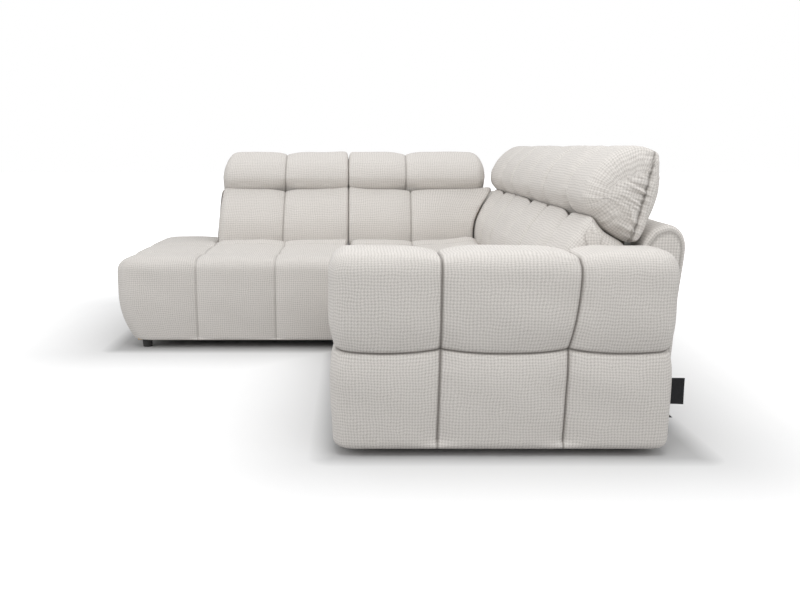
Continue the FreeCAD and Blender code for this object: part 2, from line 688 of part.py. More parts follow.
def back_padding(label, length, closed, where):
    """Padding of one back, closed at the ends named, in the frame of its row."""
    cap = size("back_end_padding")
    pad = section_face(back_section()).extrude(AXES[1] * length)
    for end in closed:
        face = end_cap_face()
        if end == "far":
            face.translate(AXES[1] * (length - cap))
        pad = pad.fuse(face.extrude(AXES[1] * cap))
    pad = pad.removeSplitter()
    soft_node(pad.Solids[0], f"{label}_back_pad", where)


def back_frame(label, length, start, posts, where):
    """Posts and a top rail of one back, standing behind the seat frame, in the frame of its row."""
    rail = size("rail_thickness")
    width = size("post_width")
    front = place("back_depth")
    low, top = size("foot_height"), place("back_frame_height")
    rail_foot = top - size("top_rail_height")
    pieces = [plain_box((front, start, rail_foot), (front + rail, start + length, top))]
    for index in range(posts):
        at = start + (length - width) * index / (posts - 1)
        depth = place("frame_depth") - rail
        pieces.append(plain_box((front + rail, at, low), (front + rail + depth, at + width, top)))
    soft_node(Part.makeCompound(pieces), f"{label}_back_frame", where)


def run_row():
    """Placement of the main run's section: depth along X, width along Y."""
    return FreeCAD.Placement(FreeCAD.Vector(place("module_x"), place("seats_y"), 0), FreeCAD.Rotation())


def far_row(start_x):
    """Placement of the far row's section: depth along Y, width from the given X towards -X."""
    quarter = FreeCAD.Rotation(FreeCAD.Vector(0, 0, 1), 90)
    return FreeCAD.Placement(FreeCAD.Vector(start_x, place("far_row_y"), 0), quarter)


def backs():
    """Backs of the main run, of the corner and of the ottoman."""
    gap = size("soft_gap")
    cap = size("back_end_padding")
    length = place("far_y") - place("seats_y") - gap
    row = run_row()
    row.Base.y += gap
    back_padding("run", length, ("near", "far"), row)
    back_frame("run", length - 2 * cap, cap, 5, row)
    corner_start = place("module_x") + place("back_depth") - gap
    length = place("back_depth") - gap - size("module_gap") / 2
    back_padding("corner", length, (), far_row(corner_start))
    back_frame("corner", length, 0, 3, far_row(corner_start))
    wing_start = place("module_x") - size("module_gap") / 2
    length = place("unit_width") - size("module_gap") / 2
    back_padding("ottoman", length, ("far",), far_row(wing_start))
    back_frame("ottoman", length - cap, 0, 3, far_row(wing_start))


# Back cushions: lumbar cushion below, hinged headrest above


def lumbar_section():
    """Section of a lumbar cushion: full front, crest under the headrest, hollow behind the crest."""
    front, base = place("lumbar_front"), place("lumbar_base")
    depth, height = size("lumbar_depth"), size("lumbar_height")

    def at(depth_share, height_share):
        return FreeCAD.Vector(front + depth * depth_share, 0, base + height * height_share)

    edges = [
        Part.Arc(at(0.04, 0.0), at(0.0, 0.33), at(0.09, 0.61)),
        Part.Arc(at(0.09, 0.61), at(0.235, 0.843), at(0.475, 1.0)),
        Part.Arc(at(0.475, 1.0), at(0.55, 0.986), at(0.62, 0.931)),
        Part.LineSegment(at(0.62, 0.931), at(0.865, 0.774)),
        Part.Arc(at(0.865, 0.774), at(0.965, 0.705), at(1.0, 0.617)),
        Part.LineSegment(at(1.0, 0.617), at(1.0, 0.0)),
        Part.LineSegment(at(1.0, 0.0), at(0.04, 0.0)),
    ]
    return section_face(edges)


def headrest_section(top):
    """Section of a headrest about its hinge axis: long front, round top, blunt foot."""
    front, rear = size("headrest_front"), size("headrest_rear")
    foot = size("headrest_foot")

    def at(depth_share, height_share):
        depth = depth_share * (rear if depth_share > 0 else front)
        height = height_share * (top if height_share > 0 else foot)
        return FreeCAD.Vector(depth, 0, height)

    edges = [
        Part.Arc(at(-0.985, -0.09), at(-1.0, 0.36), at(-0.85, 0.755)),
        Part.Arc(at(-0.85, 0.755), at(-0.63, 0.92), at(-0.285, 1.0)),
        Part.Arc(at(-0.285, 1.0), at(-0.016, 0.975), at(0.72, 0.82)),
        Part.Arc(at(0.72, 0.82), at(1.0, 0.445), at(0.72, 0.08)),
        Part.Arc(at(0.72, 0.08), at(0.63, -0.26), at(0.28, -0.82)),
        Part.Arc(at(0.28, -0.82), at(-0.08, -1.0), at(-0.245, -0.995)),
        Part.Arc(at(-0.245, -0.995), at(-0.535, -0.79), at(-0.73, -0.625)),
        Part.Arc(at(-0.73, -0.625), at(-0.89, -0.435), at(-0.985, -0.09)),
    ]
    return section_face(edges)


def back_cushion(section, low, high, seam):
    """Back cushion from its section: a middle channel in front and over the top, sides drawn in."""
    low = (low[0] - size("crown_trim"), low[1], low[2])
    high = (high[0], high[1], high[2] + size("crown_trim"))
    edge = {side: size("lumbar_side_edge") for side in ("x_low", "y_low", "y_high", "z_high")}
    channel = {side: size("lumbar_channel") for side in ("x_low", "z_high")}
    return soft_block(low, high, {1: [seam]}, edge, channel, section)


def lumbar_cushion(label, width, seam, where):
    """Lumbar cushion of one back unit, which starts at the placement's origin."""
    gap = size("unit_gap") / 2
    low = (place("lumbar_front"), gap, place("lumbar_base"))
    high = (low[0] + size("lumbar_depth"), width - gap, low[2] + size("lumbar_height"))
    soft_node(back_cushion(lumbar_section(), low, high, seam), f"{label}_lumbar_cushion", where)


def hinge_stack():
    """Width of a hinge: both plates, their side gaps and the head of the pin."""
    return 2 * size("hinge_plate") + 2 * size("hinge_side_gap") + size("hinge_flange_thickness")


def hinge_lines(width):
    """Where the two hinges of a headrest start, across its width."""
    middle = width / 2 - hinge_stack() / 2
    return [middle - size("hinge_spread") / 2, middle + size("hinge_spread") / 2]


def hinge_arm_shape(start):
    """Moving arm of a hinge: an eye round the pin, a blade and a flange behind the headrest's board."""
    plate = size("hinge_plate")
    eye = size("hinge_eye_radius")
    board = -size("core_setback")
    top = size("hinge_arm_length")
    y_at = start + plate + size("hinge_side_gap")
    disc = Part.makeCylinder(eye, plate, FreeCAD.Vector(0, y_at, 0), AXES[1])
    blade = plain_box((board, y_at, 0), (eye, y_at + plate, top))
    flange_width = size("hinge_flange_width") / 2
    flange = plain_box((board, y_at, size("core_foot") + eye),
                       (board + size("hinge_flange_thickness"), y_at + flange_width, top))
    bore = Part.makeCylinder(size("hinge_pin_radius") + size("hinge_running_gap"), plate,
                             FreeCAD.Vector(0, y_at, 0), AXES[1])
    return disc.fuse([blade, flange]).removeSplitter().cut(bore).Solids[0]


def hinge_base_shape(start):
    """Fixed side of a hinge: a flange on the top rail, an upright ear and the pin with its head."""
    plate = size("hinge_plate")
    eye = size("hinge_eye_radius")
    side = size("hinge_side_gap")
    back = size("hinge_standoff")
    drop = size("hinge_height") - place("back_frame_height") + size("top_rail_height")
    flange_top = size("hinge_height") - place("back_frame_height")
    disc = Part.makeCylinder(eye, plate, FreeCAD.Vector(0, start, 0), AXES[1])
    ear = plain_box((-eye, start, -drop), (back, start + plate, 0))
    width = size("hinge_flange_width")
    flange = plain_box((back - size("hinge_flange_thickness"), start - width + plate, -drop),
                       (back, start + plate, -flange_top))
    pin = Part.makeCylinder(size("hinge_pin_radius"), 2 * (plate + side),
                            FreeCAD.Vector(0, start, 0), AXES[1])
    head = Part.makeCylinder(2 * size("hinge_pin_radius"), size("hinge_flange_thickness"),
                             FreeCAD.Vector(0, start + 2 * (plate + side), 0), AXES[1])
    return disc.fuse([ear, flange, pin, head]).removeSplitter().Solids[0]


def core_board(width, top):
    """Board in the middle of a headrest, in front of the hinge arms."""
    rear = -size("core_setback")
    side = size("core_side_padding")
    foot = size("core_foot")
    low = (rear - size("core_thickness"), side, foot)
    return plain_box(low, (rear, width - side, top - size("core_top_padding")))


def hinge_slits(start):
    """Room in the headrest for one hinge: a slit open at the rear and foot, and a seat for its arm."""
    margin = size("hinge_slit_margin")
    reach = size("hinge_eye_radius") + margin
    low = (-reach, start - margin, -size("headrest_foot") - margin)
    high = (2 * size("headrest_rear"), start + hinge_stack() + margin, reach)
    arm_y = start + size("hinge_plate") + size("hinge_side_gap")
    arm_low = (-size("core_setback"), arm_y, 0)
    arm_high = (size("hinge_eye_radius"), arm_y + size("hinge_flange_width") / 2, size("hinge_arm_length"))
    return [plain_box(low, high), plain_box(arm_low, arm_high)]


def headrest(label, width, seam, row, top):
    """Headrest of one back unit: padding, board and hinge arms that tilt, and the fixed hinge sides."""
    gap = size("unit_gap") / 2
    axis = FreeCAD.Vector(place("hinge_depth"), 0, size("hinge_height"))
    lean = FreeCAD.Rotation(AXES[1], size("headrest_lean"))
    tilted = row.multiply(FreeCAD.Placement(axis, lean))
    upright = row.multiply(FreeCAD.Placement(axis, FreeCAD.Rotation()))
    low = (-size("headrest_front"), gap, -size("headrest_foot"))
    high = (size("headrest_rear"), width - gap, top)
    pad = back_cushion(headrest_section(top), low, high, seam)
    board = core_board(width, top)
    pad = pad.cut(board)
    for start in hinge_lines(width):
        for slit in hinge_slits(start):
            pad = pad.cut(slit)
    arms = [hinge_arm_shape(start) for start in hinge_lines(width)]
    bases = [hinge_base_shape(start) for start in hinge_lines(width)]
    soft_node(pad.Solids[0], f"{label}_headrest_cushion", tilted)
    soft_node(board, f"{label}_headrest_board", tilted)
    soft_node(Part.makeCompound(arms), f"{label}_hinge_arms", tilted)
    soft_node(Part.makeCompound(bases), f"{label}_hinge_bases", upright)


def back_units():
    """Three back units along the main run, one at the corner and one on the ottoman."""
    width = place("unit_width")
    for index, label in enumerate(("near", "middle", "far")):
        row = run_row()
        row.Base.y += index * width
        lumbar_width = width
        if label == "far":
            lumbar_width = place("far_row_y") + place("lumbar_front") - row.Base.y + size("lumbar_depth") / 2
        lumbar_cushion(label, min(lumbar_width, width), width / 2, row)
        headrest(label, width, width / 2, row, size("headrest_top"))
    far_top = size("headrest_top") - size("far_row_drop")
    wing = far_row(place("module_x"))
    lumbar_cushion("ottoman", width, width / 2, wing)
    headrest("ottoman", width, width / 2, wing, far_top)
    long_width = place("corner_headrest_width")
    short_width = place("corner_lumbar_width")
    lumbar_cushion("corner", short_width, short_width - size("corner_channel"),
                   far_row(place("module_x") + short_width))
    headrest("corner", long_width, long_width - size("corner_channel"),
             far_row(place("module_x") + long_width), far_top)


# Connectors that hook the ottoman onto the main run


def connectors():
    """Two steel hooks on the ottoman's end rail and two slotted catches on the run's front rail."""
    plate = "Sizes.connector_plate"
    width = "Sizes.connector_width"
    catch_depth = "Sizes.rail_setback"
    x_hook = "Layout.module_x - Sizes.module_gap"
    hooks, catches = [], []
    for share in (0.25, 0.75):
        y_mid = f"({WING_Y[0]} + (Layout.rail_rear - Sizes.rail_setback) * {share})"
        y_low = f"{y_mid} - {width} / 2"
        z_mid = "(Sizes.foot_height + Sizes.rail_height / 2)"
        z_low = f"{z_mid} - {width} / 2"
        back = box((x_hook, y_low, z_low), (plate, width, width))
        stem_x = f"{x_hook} + {plate}"
        stem_length = f"{catch_depth} + Sizes.module_gap - 3 * {plate}"
        stem = rod((stem_x, y_mid, z_mid), "Sizes.connector_stem_radius", stem_length, AXES[0])
        head = rod((f"{stem_x} + {stem_length} - {plate}", y_mid, z_mid), "Sizes.connector_head_radius",
                   plate, AXES[0])
        hooks.append(fused([back, stem, head]))
        body = box(("Layout.module_x + Sizes.connector_plate", y_low, z_low),
                   (f"{catch_depth} - {plate}", width, width))
        hollow = box((f"Layout.module_x + 2 * {plate}", f"{y_mid} - {width} / 2 + {plate}", z_low),
                     (f"{catch_depth} - 2 * {plate}", f"{width} - 2 * {plate}", width))
        slot = box(("Layout.module_x", f"{y_mid} - Sizes.connector_stem_radius - Sizes.soft_gap", z_low),
                   (f"{catch_depth} - {plate}", "2 * Sizes.connector_stem_radius + 2 * Sizes.soft_gap",
                    f"{width} / 2 + 2 * Sizes.connector_stem_radius"))
        catches.append(cut(cut(body, hollow), slot))
    group(hooks, "connector_hooks")
    group(catches, "connector_catches")


def write_parts():
    """Check every object of the document, then write each node to its own file."""
    doc.recompute()
    for obj in doc.Objects:
        if "Invalid" in obj.State or "Error" in obj.State:
            raise RuntimeError(f"{obj.Name} ({obj.Label}) failed: {obj.State}")
    for obj in NODES:
        if obj.Shape.isNull() or not obj.Shape.isValid() or not obj.Shape.Solids:
            raise RuntimeError(f"{obj.Label} has no valid solid")
    for obj in NODES:
        obj.Shape.exportStep(f"parts/{obj.Label}.step")


run_base()
wing_base()
run_seats()
wing_seat()
arm()
backs()
back_units()
connectors()
write_parts()

whole = FreeCAD.BoundBox()
for part in NODES:
    whole.add(part.Shape.BoundBox)
print(f"{len(NODES)} nodes, {whole.XLength:.0f} x {whole.YLength:.0f} x {whole.ZLength:.0f} mm")
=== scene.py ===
# %% [markdown]
# # A corner sofa in basket-weave chenille
# The sofa stands in one fixed frame: its rails, springs, hinges and feet come from the packed
# model and stay where they are. What is made here is everything soft: the arm, the seats, the
# backs and the cushions, with the weave, the seams and the gathers that the cover shows.

# %% Load the frame
import bpy
import math
import numpy as np
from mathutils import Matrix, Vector


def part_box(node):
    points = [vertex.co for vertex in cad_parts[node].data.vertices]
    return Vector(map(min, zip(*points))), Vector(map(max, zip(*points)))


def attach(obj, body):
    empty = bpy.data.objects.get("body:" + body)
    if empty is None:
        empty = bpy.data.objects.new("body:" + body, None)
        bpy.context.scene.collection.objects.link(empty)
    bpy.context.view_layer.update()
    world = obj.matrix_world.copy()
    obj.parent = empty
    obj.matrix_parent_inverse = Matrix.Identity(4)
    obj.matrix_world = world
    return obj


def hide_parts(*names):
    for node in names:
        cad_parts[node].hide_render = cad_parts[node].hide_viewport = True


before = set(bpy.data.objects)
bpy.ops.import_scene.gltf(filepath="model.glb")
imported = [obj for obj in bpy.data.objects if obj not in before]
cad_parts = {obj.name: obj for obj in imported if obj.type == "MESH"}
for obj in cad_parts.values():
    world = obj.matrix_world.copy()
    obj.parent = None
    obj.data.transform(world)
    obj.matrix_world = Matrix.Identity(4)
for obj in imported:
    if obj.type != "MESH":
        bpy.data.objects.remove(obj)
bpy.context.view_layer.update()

# %% [markdown]
# The sofa has two rows. The main run goes along Y, with its backs at high X. The far row goes
# along X, with its backs at high Y. Each row is easiest to draw as a section: how deep a point
# is, how far along the row it lies, and how high. These few lengths place both rows.

# %% Where the rows stand
MODULE_X = -0.0215  # line between the ottoman and the main run
NEAR_Y = -1.360  # outer face of the arm
SEATS_Y = -1.080  # inner face of the arm
FAR_ROW_Y = 0.217
WING_Y = 0.189
WING_END_X = -1.1215
UNIT = 0.730  # width of one back unit
CORNER_HEADREST = 0.786
CORNER_LUMBAR = 0.676
CORNER_SEAM = 0.345
LUMBAR_FRONT = 0.692
SHELF = 0.424
SEAT_TOP = 0.446
HEM = 0.0402
MODULE_GAP = 0.0016  # half the gap between the ottoman and the main run
SEAT_REAR = 0.955
HINGE_DEPTH, HINGE_HEIGHT = 0.975, 0.715
LEAN = 13.0  # degrees that a headrest leans back


def main_run(start):
    """Section to room: depth along X, length along Y from a start, height as it is."""
    def place(depth, along, height):
        return np.stack([MODULE_X + depth, SEATS_Y + start + along, height], axis=-1)
    return place


def far_row(start):
    """Section to room: depth along Y, length along -X from a start, height as it is."""
    def place(depth, along, height):
        return np.stack([start - along, FAR_ROW_Y + depth, height], axis=-1)
    return place


# %% [markdown]
# ## Camera
# The picture is taken from the height of the headrests, straight along the main run, and looks
# down a little. A long normal lens keeps the arm and the ottoman close to square.

# %% Camera
camera_data = bpy.data.cameras.new("view")
camera_data.sensor_width = 36.0
camera_data.lens = 41.25
camera_data.shift_x = 0.0594
camera_data.shift_y = 0.0046
camera = bpy.data.objects.new("view", camera_data)
bpy.context.scene.collection.objects.link(camera)
camera.location = (0.0005, -4.10, 0.957)
camera.rotation_euler = (math.radians(90.0 - 9.7), 0.0, 0.0)
bpy.context.scene.camera = camera
print("camera", tuple(round(v, 3) for v in camera.location), "lens", camera_data.lens)

# %% [markdown]
# ## Shader arithmetic
# A woven cover is a pattern, and a pattern is easiest to read as a formula. This small class
# wraps a socket, so that `1 - mask * 0.5` adds the Math nodes by itself. Colours go through the
# Mix node, because a Math node would turn them grey.

# %% Shader arithmetic
class Value:
    """One socket of a shader that can be used in arithmetic."""

    def __init__(self, paint, socket):
        self.paint, self.socket = paint, socket

    def math(self, operation, *others):
        inputs = dict(enumerate((self, *others)))
        return self.paint.node("ShaderNodeMath", {"operation": operation}, inputs)

    def __add__(self, other):
        return self.math("ADD", other)

    def __radd__(self, other):
        return self.math("ADD", other)

    def __sub__(self, other):
        return self.math("SUBTRACT", other)

    def __rsub__(self, other):
        return self.paint.node("ShaderNodeMath", {"operation": "SUBTRACT"}, {0: other, 1: self})

    def __mul__(self, other):
        return self.math("MULTIPLY", other)

    def __rmul__(self, other):
        return self.math("MULTIPLY", other)

    def __truediv__(self, other):
        return self.math("DIVIDE", other)

    def __pow__(self, other):
        return self.math("POWER", other)

    def wave(self):
        """Cosine of a whole turn per unit, from -1 to 1."""
        return (self * (2 * math.pi)).math("COSINE")

    def larger(self, other):
        return self.math("MAXIMUM", other)

    def clamped(self):
        return self.math("MAXIMUM", 0.0).math("MINIMUM", 1.0)


class Paint:
    """One material and its node tree."""

    def __init__(self, name):
        self.material = bpy.data.materials.new(name)
        self.material.use_nodes = True
        self.tree = self.material.node_tree
        self.shader = self.tree.nodes["Principled BSDF"]

    def feed(self, socket, value):
        if isinstance(value, Value):
            self.tree.links.new(value.socket, socket)
        elif value is not None:
            socket.default_value = value

    def node(self, kind, settings=None, inputs=None, output=0):
        """Any node: its settings first, then the values or links of its sockets."""
        made = self.tree.nodes.new(kind)
        for name, value in (settings or {}).items():
            setattr(made, name, value)
        for key, value in (inputs or {}).items():
            self.feed(made.inputs[key], value)
        return Value(self, made.outputs[output])

    def mix(self, factor, first, second):
        """Colour between two colours."""
        inputs = {"Factor": factor, 6: first, 7: second}
        return self.node("ShaderNodeMix", {"data_type": "RGBA"}, inputs, 2)

    def noise(self, where, scale, detail=2.0):
        return self.node("ShaderNodeTexNoise", {}, {"Vector": where, "Scale": scale, "Detail": detail})

    def place(self):
        """Place on the object, in metres."""
        return self.node("ShaderNodeTexCoord", {}, {}, 3)

    def finish(self, colour, roughness, height=None, depth=0.001, **constants):
        """Colour, roughness and relief of the surface; constants go on the shader's own sockets."""
        self.feed(self.shader.inputs["Base Color"], colour)
        self.feed(self.shader.inputs["Roughness"], roughness)
        if height is not None:
            bump = self.node("ShaderNodeBump", {}, {"Height": height, "Distance": depth, "Strength": 1.0})
            self.feed(self.shader.inputs["Normal"], bump)
        for name, value in constants.items():
            self.shader.inputs[name.replace("_", " ")].default_value = value
        return self.material


# %% [markdown]
# ## Chenille cover
# The cover is a coarse basket weave: flat chenille yarns cross about every 10 mm, and where four
# of them meet there is a small dark pit. The pattern follows the cloth, so it reads the UV map
# of each piece, which is measured in metres along the surface. Fine noise breaks the yarns up
# into fluff, and a vertex attribute paints shade into the cloth where a seam draws it in.

# %% Chenille cover
WEAVE = 0.0098  # distance between two yarns


def chenille(name, light, pit, relief):
    """Pits on a square lattice, each 1 - (x / 0.30)^2 - (y / 0.70)^2 along the diagonals, between
    light floats of yarn. A slow wander in the lattice and in the pits keeps it from looking ruled."""
    paint = Paint(name)
    uv = paint.node("ShaderNodeUVMap", {"uv_map": "weave"})
    wander = paint.noise(uv, 16.0, 2.0) * 1.6
    uneven = paint.noise(uv, 150.0, 1.0)
    across = paint.node("ShaderNodeSeparateXYZ", {}, {0: uv}, 0) / WEAVE + wander
    along = paint.node("ShaderNodeSeparateXYZ", {}, {0: uv}, 1) / WEAVE + wander
    a = across.math("FRACT") - 0.5
    b = along.math("FRACT") - 0.5
    narrow, wide = (a + b) / 0.30, (a - b) / 0.70
    pit_here = (1 - (narrow * narrow + wide * wide)).clamped() * (uneven * 1.5 + 0.15).clamped()
    float_here = (across + along).wave() * 0.5 + 0.5
    fluff = paint.noise(uv, 700.0, 1.0)
    yarn = (0.62 + 0.38 * float_here - pit_here * 0.75).clamped()
    shade = (yarn * 0.9 + (fluff - 0.5) * 0.6 + 0.12).clamped()
    cloudy = paint.noise(paint.place(), 4.0, 1.0)
    shade_in_seams = paint.node("ShaderNodeAttribute", {"attribute_name": "seam_shade"}, {}, 2)
    colour = paint.mix(shade, pit, light)
    colour = paint.mix(cloudy * 0.10, colour, tuple(0.86 * c for c in light[:3]) + (1.0,))
    # Painted shade: the cloth is darkened towards the pit colour along seams and end rims, where the cover
    # draws in.
    colour = paint.mix(shade_in_seams * 0.8, colour, tuple(0.55 * c for c in pit[:3]) + (1.0,))
    height = yarn * 0.75 + fluff * 0.35
    return paint.finish(colour, 0.92 - 0.1 * yarn, height, relief,
                        Sheen_Weight=0.12, Sheen_Roughness=0.5, Specular_IOR_Level=0.25)


cover = chenille("cover_chenille", (0.74, 0.71, 0.675, 1.0), (0.24, 0.215, 0.19, 1.0), 0.0009)

# %% [markdown]
# ## Hidden and small finishes
# The frame is sawn softwood, the springs are dull drawn wire, the hinges and connectors are
# zinc-plated, the feet are moulded black plastic and the cloth below is black spun-bond. The
# label in the arm's seam is a blank black ribbon.

# %% Wood, metal, plastic and dust cloth
def wood():
    """Rings across the grain, stretched along it, with fine dark pores."""
    paint = Paint("sawn_pine")
    stretched = paint.node("ShaderNodeMapping", {}, {"Vector": paint.place(), "Scale": (6.0, 6.0, 40.0)})
    rings = paint.noise(stretched, 1.6, 6.0)
    pores = paint.noise(stretched, 30.0, 2.0)
    colour = paint.mix(rings, (0.62, 0.44, 0.25, 1.0), (0.80, 0.63, 0.42, 1.0))
    colour = paint.mix((pores - 0.45) * 0.6, colour, (0.40, 0.25, 0.13, 1.0))
    return paint.finish(colour, 0.55 + 0.3 * pores, rings, 0.0006)


def metal(name, tone, low, high, scale):
    """Metal with a clouded, slightly brushed surface."""
    paint = Paint(name)
    cloud = paint.noise(paint.place(), scale, 4.0)
    colour = paint.mix(cloud, tuple(0.8 * c for c in tone[:3]) + (1.0,), tone)
    return paint.finish(colour, cloud * (high - low) + low, cloud, 0.0001, Metallic=1.0)


def plastic():
    """Black moulded plastic with a fine spark-eroded grain."""
    paint = Paint("foot_plastic")
    grain = paint.noise(paint.place(), 1400.0, 1.0)
    dust = paint.noise(paint.place(), 25.0, 4.0)
    colour = paint.mix(dust * 0.5, (0.012, 0.012, 0.013, 1.0), (0.045, 0.043, 0.040, 1.0))
    return paint.finish(colour, 0.42 + 0.2 * dust, grain, 0.0002)


def black_cloth(name, pitch, tone):
    """Thin black cloth: fine threads both ways."""
    paint = Paint(name)
    uv = paint.node("ShaderNodeUVMap", {"uv_map": "weave"})
    across = (paint.node("ShaderNodeSeparateXYZ", {}, {0: uv}, 0) / pitch).wave()
    along = (paint.node("ShaderNodeSeparateXYZ", {}, {0: uv}, 1) / pitch).wave()
    thread = across * along * 0.5 + 0.5
    colour = paint.mix(thread, tuple(0.5 * c for c in tone[:3]) + (1.0,), tone)
    return paint.finish(colour, 0.85, thread, 0.0003, Specular_IOR_Level=0.2)


FINISHES = {
    "frame_wood": wood(),
    "spring_steel": metal("spring_wire", (0.36, 0.37, 0.38, 1.0), 0.35, 0.6, 60.0),
    "zinc_steel": metal("zinc_plate", (0.62, 0.63, 0.62, 1.0), 0.25, 0.45, 90.0),
    "foot_plastic": plastic(),
    "dust_cloth": black_cloth("dust_cloth", 0.0022, (0.020, 0.020, 0.021, 1.0)),
    "label_cloth": black_cloth("label_ribbon", 0.0012, (0.028, 0.028, 0.030, 1.0)),
    "cover_fabric": cover,
}
BY_NAME = {
    "_rails": "frame_wood", "_frame": "frame_wood", "_board": "frame_wood", "_springs": "spring_steel",
    "hinge": "zinc_steel", "connector": "zinc_steel", "_feet": "foot_plastic", "dust": "dust_cloth",
    "label": "label_cloth",
}
for name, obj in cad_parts.items():
    chosen = [slot for word, slot in BY_NAME.items() if word in name]
    obj.data.materials.clear()
    obj.data.materials.append(FINISHES[chosen[0] if chosen else "cover_fabric"])
print("finishes on", len(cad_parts), "solids of the frame")

# %% [markdown]
# ## Surfaces from formulas
# Every soft piece is a grid of points worked out as whole arrays. The grid lines crowd together
# at the seams, where the form turns sharply, and spread out over the middle of a tuft. Two
# helpers are shared: one spaces the lines, the other puts a finished grid into a mesh with its
# weave map.

# %% Grid lines, ripples and meshes
STEP = 0.012  # average distance between grid lines
FOLD_POWER = 2.4  # how sharply a tuft turns down to its seam
GROOVE_WIDTH = 0.0045  # width of the narrow groove along a seam
# The dark line along a seam is painted shade.
SEAM_SHADE_WIDTH = 0.0035  # width of the dark line along a seam
UNEVENNESS = 0.0016  # how far padding wanders from its true form


def crowded(stops, step=STEP, pull=0.8):
    """Places from stop to stop, closer together at each stop: t - pull * sin(2 pi t) / (2 pi)."""
    parts = []
    for start, end in zip(stops, stops[1:]):
        count = max(4, int(round((end - start) / step)))
        t = np.arange(count) / count
        parts.append(start + (end - start) * (t - pull * np.sin(2 * np.pi * t) / (2 * np.pi)))
    return np.concatenate(parts + [np.array([stops[-1]])])


def ripple(first, second, seed, length):
    """Smooth unevenness from -1 to 1: seven sine waves of about one length, with seeded phases."""
    random = np.random.default_rng(seed)
    total = np.zeros_like(first)
    for _ in range(7):
        angle = random.uniform(0, 2 * np.pi)
        turns = random.uniform(0.6, 1.7) / length
        phase = random.uniform(0, 2 * np.pi)
        total += np.sin(2 * np.pi * turns * (first * np.cos(angle) + second * np.sin(angle)) + phase)
    return total / 4.0


def fold(distance, reach):
    """Share of a channel's depth: 1 at the seam, 0 where the tuft is full, (1 - t / reach) ^ power."""
    return np.clip(1.0 - distance / reach, 0.0, 1.0) ** FOLD_POWER


def drawn_round(radius, distance):
    """How far a round edge has fallen away at a distance from its end: r - sqrt(r^2 - (r - e)^2)."""
    short = np.clip(radius - distance, 0.0, None)
    return radius - np.sqrt(np.maximum(radius ** 2 - short ** 2, 0.0))


def make_mesh(name, points, faces, weave, seam_shade, material="cover_fabric"):
    """Mesh from points, faces and one weave coordinate per face corner, with the painted seam shade attribute.
    """
    mesh = bpy.data.meshes.new(name)
    mesh.from_pydata(points.tolist(), [], [list(f) for f in faces])
    layer = mesh.uv_layers.new(name="weave")
    layer.data.foreach_set("uv", np.ascontiguousarray(weave, np.float32).ravel())
    shade = mesh.attributes.new("seam_shade", "FLOAT", "POINT")
    shade.data.foreach_set("value", np.ascontiguousarray(seam_shade, np.float32))
    mesh.polygons.foreach_set("use_smooth", np.ones(len(mesh.polygons), bool))
    mesh.materials.append(FINISHES[material])
    mesh.update()
    obj = bpy.data.objects.new(name, mesh)
    bpy.context.scene.collection.objects.link(obj)
    return obj


def finish_soft(obj, body, nodes):
    """Smooth a soft piece once, hang it on the body it rides on, and hide the solids it stands for."""
    smooth = obj.modifiers.new("smooth", "SUBSURF")
    smooth.levels = 1
    smooth.render_levels = 1
    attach(obj, body)
    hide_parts(*nodes)
    low, high = np.array(obj.bound_box).min(0), np.array(obj.bound_box).max(0)
    print(f"{obj.name}: {len(obj.data.polygons)} faces, {np.round(low, 3)} to {np.round(high, 3)}")


# %% [markdown]
# ## Tufted blocks
# The arm and the seats are blocks of foam under one cover. Sewn channels cross the cover and
# divide it into big square tufts, each of which crowns a little. One function makes them all:
# it starts from a box, rounds its edges, sinks the channels, and lets the cloth ripple beside
# each seam, where it is gathered.

# %% Tufted blocks
AXES = "xyz"


def box_grid(lines):
    """Points on the six sides of a box of grid lines, its quads facing out, and the side of each."""
    counts = [len(line) for line in lines]
    index = np.indices(counts)
    ends = np.array(counts).reshape(3, 1, 1, 1) - 1
    surface = ((index == 0) | (index == ends)).any(0)
    number = np.full(counts, -1)
    number[surface] = np.arange(surface.sum())
    points = np.stack([lines[a][index[a][surface]] for a in range(3)], axis=1)
    quads, sides = [], []
    for axis in range(3):
        for end in (0, 1):
            sheet = np.take(number, -end, axis=axis)
            if axis == 1:
                sheet = sheet.T
            if end == 0:
                sheet = sheet.T
            corners = (sheet[:-1, :-1], sheet[1:, :-1], sheet[1:, 1:], sheet[:-1, 1:])
            quads.append(np.stack([c.ravel() for c in corners], axis=1))
            sides.append(np.full(len(quads[-1]), axis * 2 + end))
    return points, np.concatenate(quads), np.concatenate(sides)


def rounded(points, low, high, radius, power):
    """Box with elliptic edges: the part beyond an inner box is drawn in to unit length."""
    small = np.array([radius[a + "_low"] for a in AXES])
    large = np.array([radius[a + "_high"] for a in AXES])
    core = np.clip(points, low + small, high - large)
    beyond = points - core
    reach = np.where(beyond < 0, small, large)
    share = np.abs(beyond) / reach
    length = (share ** power).sum(1) ** (1.0 / power)
    length = np.maximum(length, 1e-9)[:, None]
    out = core + beyond / length * (length > 1e-6)
    slope = np.sign(beyond) * (share / length) ** (power - 1) / reach
    size = np.linalg.norm(slope, axis=1, keepdims=True)
    return out, slope / np.maximum(size, 1e-9)


def block_weave(points, quads, sides, low):
    """Weave map of a block: X or Y along the cloth, and the height carried on over the top."""
    corner = points[quads]
    x, y, z = corner[..., 0], corner[..., 1], corner[..., 2]
    across = np.where((sides < 2)[:, None], y, x)
    along = np.where((sides < 4)[:, None], z, z + (y - low[1]) * 1.0)
    return np.stack([across, along], axis=-1)


